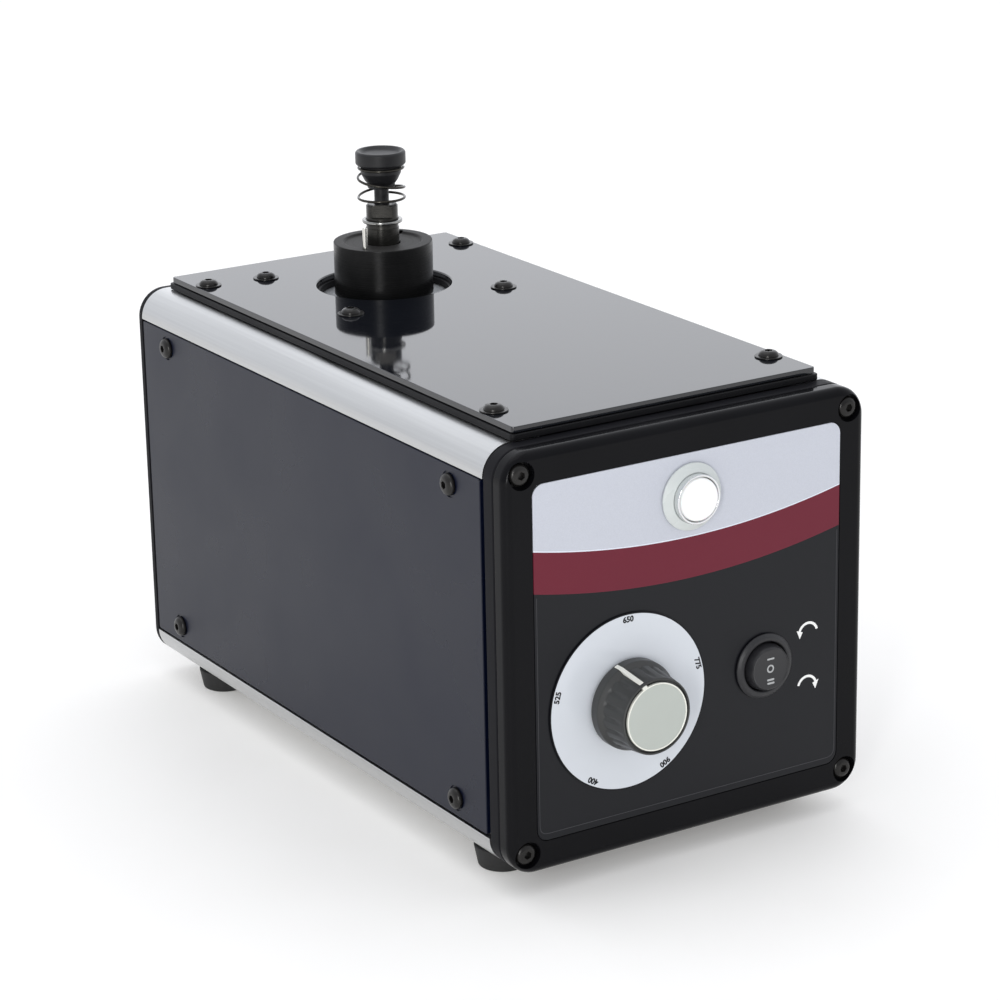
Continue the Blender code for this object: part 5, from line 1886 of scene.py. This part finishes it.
@dataclass
class Feet:
    """Four tapered rubber feet with a tread recess."""

    top_r: float = 10.0 * MM
    tread_r: float = 8.5 * MM
    recess_r: float = 4.5 * MM
    hole_r: float = 2.2 * MM

    def build(self) -> None:
        """Builds each foot where its node stands."""
        for name in ("front_left", "front_right", "rear_left", "rear_right"):
            low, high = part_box(f"{name}_foot")
            tall = high.z - low.z
            section = filleted(
                [
                    (self.hole_r, tall),
                    (self.top_r, tall),
                    (self.tread_r, 0),
                    (self.recess_r + 1.5 * MM, 0),
                    (self.recess_r, 0.4 * MM),
                    (self.recess_r, 3.0 * MM),
                    (self.hole_r, 3.0 * MM),
                ],
                0.7 * MM, 4, loop=True,
            )
            centre = ((low.x + high.x) / 2, (low.y + high.y) / 2, low.z)
            make_piece(
                f"{name}_rubber_foot", revolved(section, 72, ring=True).placed(Facing.UP, centre), FOOT_RUBBER,
                Body.CHASSIS, [f"{name}_foot"],
            )


@dataclass
class RearFittings:
    """The mains inlet with its three blades, and the fuse holder."""

    flange: tuple[float, float] = (15.35 * MM, 11.4 * MM)
    body: tuple[float, float] = (13.5 * MM, 9.9 * MM)
    socket: tuple[float, float] = (12.0 * MM, 8.25 * MM)
    socket_depth: float = 16.0 * MM
    flange_t: float = 3.0 * MM

    def build(self) -> None:
        """Builds inlet, blades and fuse holder."""
        low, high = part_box("mains_inlet")
        depth = high.y - low.y
        centre = ((low.x + high.x) / 2, low.y, (low.z + high.z) / 2)
        outer = slab((2 * self.flange[0], 2 * self.flange[1], self.flange_t), 2.5 * MM, 0.6 * MM, 0.1 * MM, 4)
        trunk = extruded(round_box(*self.body, 0.8 * MM), 0, depth - self.flange_t + 0.2 * MM)
        hollow = extruded(self.socket_outline(), depth - self.socket_depth, depth + 1 * MM)
        flange = worked(outer.moved(0, 0, depth - self.flange_t), [hollow])
        trunk = worked(trunk, [hollow])
        make_piece(
            "inlet_shell", flange.joined(trunk).placed(Facing.REAR, centre), SWITCH_BLACK, Body.CHASSIS,
            ["mains_inlet"],
        )
        floor = depth - self.socket_depth
        for number, (x, y) in enumerate(((-7.0, -1.8), (7.0, -1.8), (0.0, 2.4)), 1):
            blade = slab((2.0 * MM, 4.0 * MM, 12.5 * MM), 0.4 * MM, 0.5 * MM, 0.1 * MM, 3)
            shape = blade.moved(x * MM, y * MM, floor - 0.1 * MM)
            make_piece(
                f"inlet_blade_{number}", shape.placed(Facing.REAR, centre), BRASS, Body.CHASSIS
            )
        self.fuse()

    def socket_outline(self) -> np.ndarray:
        """The socket's mouth: a rectangle with two cut lower corners.

        Returns:
            The outline's (x, y) points.
        """
        w, h = self.socket
        cut = 5.0 * MM
        corners = [(w, -h + cut * 0.7), (w, h), (-w, h), (-w, -h + cut * 0.7), (-w + cut, -h), (w - cut, -h)]
        return filleted(corners, 1.4 * MM, 4, loop=True)

    def fuse(self) -> None:
        """The fuse holder: a round cap with a grip ripple and a slot across its end."""
        low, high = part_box("fuse_holder")
        panel_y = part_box("rear_panel")[1].y
        centre = ((low.x + high.x) / 2, panel_y, (low.z + high.z) / 2)
        top = high.y - panel_y
        tail = low.y - panel_y
        cap_r = (high.x - low.x) / 2
        line = filleted(
            [
                (0, top),
                (cap_r - 0.9 * MM, top),
                (cap_r - 0.5 * MM, 2.6 * MM),
                (cap_r, 2.2 * MM),
                (cap_r, 0.3 * MM),
                (5.7 * MM, 0.3 * MM),
                (5.7 * MM, tail),
                (0, tail),
            ],
            0.4 * MM,
        )

        def grip(points: np.ndarray, angle: np.ndarray) -> np.ndarray:
            """Grip ribs: 1 + rib height times cos(24 a), above the flange only.

            Args:
                points: the (r, h) profile.
                angle: the angles, shape (1, m).

            Returns:
                The factor on each radius.
            """
            height = points[:, 1:]
            on_cap = (height > 2.8 * MM) & (height < top - 0.3 * MM)
            return 1 + np.where(on_cap, 0.025 * np.cos(24 * angle), 0)

        slot = extruded(round_box(4.2 * MM, 0.6 * MM, 0.2 * MM, 2), top - 1.2 * MM, top + 1 * MM)
        shape = worked(revolved(SpeedKnob().resampled(line), 144, ripple=grip), [slot])
        make_piece(
            "fuse_cap", shape.placed(Facing.REAR, centre), SWITCH_BLACK, Body.CHASSIS,
            ["fuse_holder"], crease=45,
        )


def dress_node(node: str, finish: Finish) -> None:
    """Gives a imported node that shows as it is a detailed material.

    Args:
        node: the node's name.
        finish: its material.
    """
    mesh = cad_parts[node].data
    mesh.materials.clear()
    mesh.materials.append(finish.material())


def dress_inside() -> None:
    """Dresses what the casing hides."""
    finishes = {
        CAST_GREY: ("motor_flange", "motor_housing", "power_supply"),
        STEEL: ("upper_bearing", "lower_bearing", "motor_rotor", "speed_potentiometer"),
        BOARD_GREEN: ("control_board",),
    }
    for finish, nodes in finishes.items():
        for node in nodes:
            dress_node(node, finish)


# ---------------------------------------------------------------- studio


@dataclass
class Studio:
    """A wide pale floor, pale light from all round, soft lights and the camera."""

    distance: float = 1.2163
    azimuth: float = -31.44
    elevation: float = 18.56
    roll: float = -1.21
    lens: float = 120.33
    shift: tuple[float, float] = (0.0155, 0.0279)
    aim_back: float = 0.130
    sky: float = 0.92
    sky_swing: float = 0.42

    def build(self) -> None:
        """Builds floor, light and camera."""
        self.floor()
        self.world()
        self.lights()
        self.camera()

    def floor(self) -> None:
        """A wide pale floor."""
        half = 4.0
        sheet = Surface(
            np.array([(-half, -half, 0), (half, -half, 0), (half, half, 0), (-half, half, 0)], float),
            [(0, 1, 2, 3)],
        )
        mesh = mesh_of("studio_floor", sheet)
        finish = Finish(
            "floor_white", (0.83, 0.82, 0.80), 0.6, clouding=0.01, grain_scale=300, grain_depth=0.00001,
            specular=0.1, glow=0.24,
        )
        mesh.materials.append(finish.material())
        obj = bpy.data.objects.new("studio_floor", mesh)
        bpy.context.scene.collection.objects.link(obj)

    def world(self) -> None:
        """Pale light from all round, stronger behind the machine than in front: sky + swing (d . b)."""
        world = bpy.data.worlds.new("studio_air")
        world.use_nodes = True
        nodes, links = world.node_tree.nodes, world.node_tree.links
        sky = nodes["Background"]
        sky.inputs["Color"].default_value = (0.93, 0.95, 1.0, 1)
        a = math.radians(self.azimuth)
        dot = nodes.new("ShaderNodeVectorMath")
        dot.operation = "DOT_PRODUCT"
        links.new(nodes.new("ShaderNodeTexCoord").outputs["Generated"], dot.inputs[0])
        dot.inputs[1].default_value = (-math.sin(a), math.cos(a), 0.25)
        strength = nodes.new("ShaderNodeMath")
        strength.operation = "MULTIPLY_ADD"
        links.new(dot.outputs["Value"], strength.inputs[0])
        strength.inputs[1].default_value = self.sky_swing
        strength.inputs[2].default_value = self.sky
        links.new(strength.outputs[0], sky.inputs["Strength"])
        bpy.context.scene.world = world

    def lights(self) -> None:
        """Soft panels: name, place, aim, width, height, power."""
        panels = (
            ("top_panel", (-0.2, 0.3, 1.7), (0, 0.05, 0.1), 1.4, 1.4, 4.0),
            ("back_panel", (1.75, 2.9, 1.25), (0, 0, 0.15), 3.4, 1.5, 4.0),
            ("strip_panel", (-1.35, -1.45, 0.55), (0, 0.05, 0.13), 0.22, 1.0, 12.0),
        )
        for name, place, aim, width, height, power in panels:
            light = bpy.data.lights.new(name, "AREA")
            light.shape = "RECTANGLE"
            light.size = width
            light.size_y = height
            light.energy = power
            obj = bpy.data.objects.new(name, light)
            obj.location = place
            obj.rotation_euler = (Vector(aim) - Vector(place)).to_track_quat("-Z", "Y").to_euler()
            bpy.context.scene.collection.objects.link(obj)

    def camera(self) -> None:
        """The camera, looking at the body from the front and the left."""
        low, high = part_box("front_plate")
        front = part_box("front_bezel")[0].y
        target = Vector(((low.x + high.x) / 2, front + self.aim_back, (low.z + high.z) / 2))
        a = math.radians(self.azimuth)
        e = math.radians(self.elevation)
        away = Vector((math.sin(a) * math.cos(e), -math.cos(a) * math.cos(e), math.sin(e)))
        right = Vector((math.cos(a), math.sin(a), 0))
        up = away.cross(right)
        r = math.radians(self.roll)
        rolled_right = right * math.cos(r) + up * math.sin(r)
        rolled_up = up * math.cos(r) - right * math.sin(r)
        data = bpy.data.cameras.new("studio_camera")
        data.lens = self.lens
        data.sensor_width = 36
        data.shift_x, data.shift_y = self.shift
        data.clip_end = 50
        obj = bpy.data.objects.new("studio_camera", data)
        bpy.context.scene.collection.objects.link(obj)
        turn = Matrix((rolled_right, rolled_up, away)).transposed().to_4x4()
        obj.matrix_world = Matrix.Translation(target + away * self.distance) @ turn
        bpy.context.scene.camera = obj


def main() -> None:
    """Builds the machine group by group, then the studio."""
    logging.basicConfig(level=logging.INFO, format="%(name)s: %(message)s")
    bpy.context.scene.view_settings.view_transform = "Standard"
    groups = (
        Casing(), TopDeck(), FrontLabel(), SpeedKnob(), RockerSwitch(), PushButton(), Spindle(), HoldDown(),
        Fasteners(), Feet(), RearFittings(),
    )
    for group in groups:
        group.build()
        LOG.info("built %s", type(group).__name__)
    dress_inside()
    Studio().build()


if __name__ == "__main__":
    main()
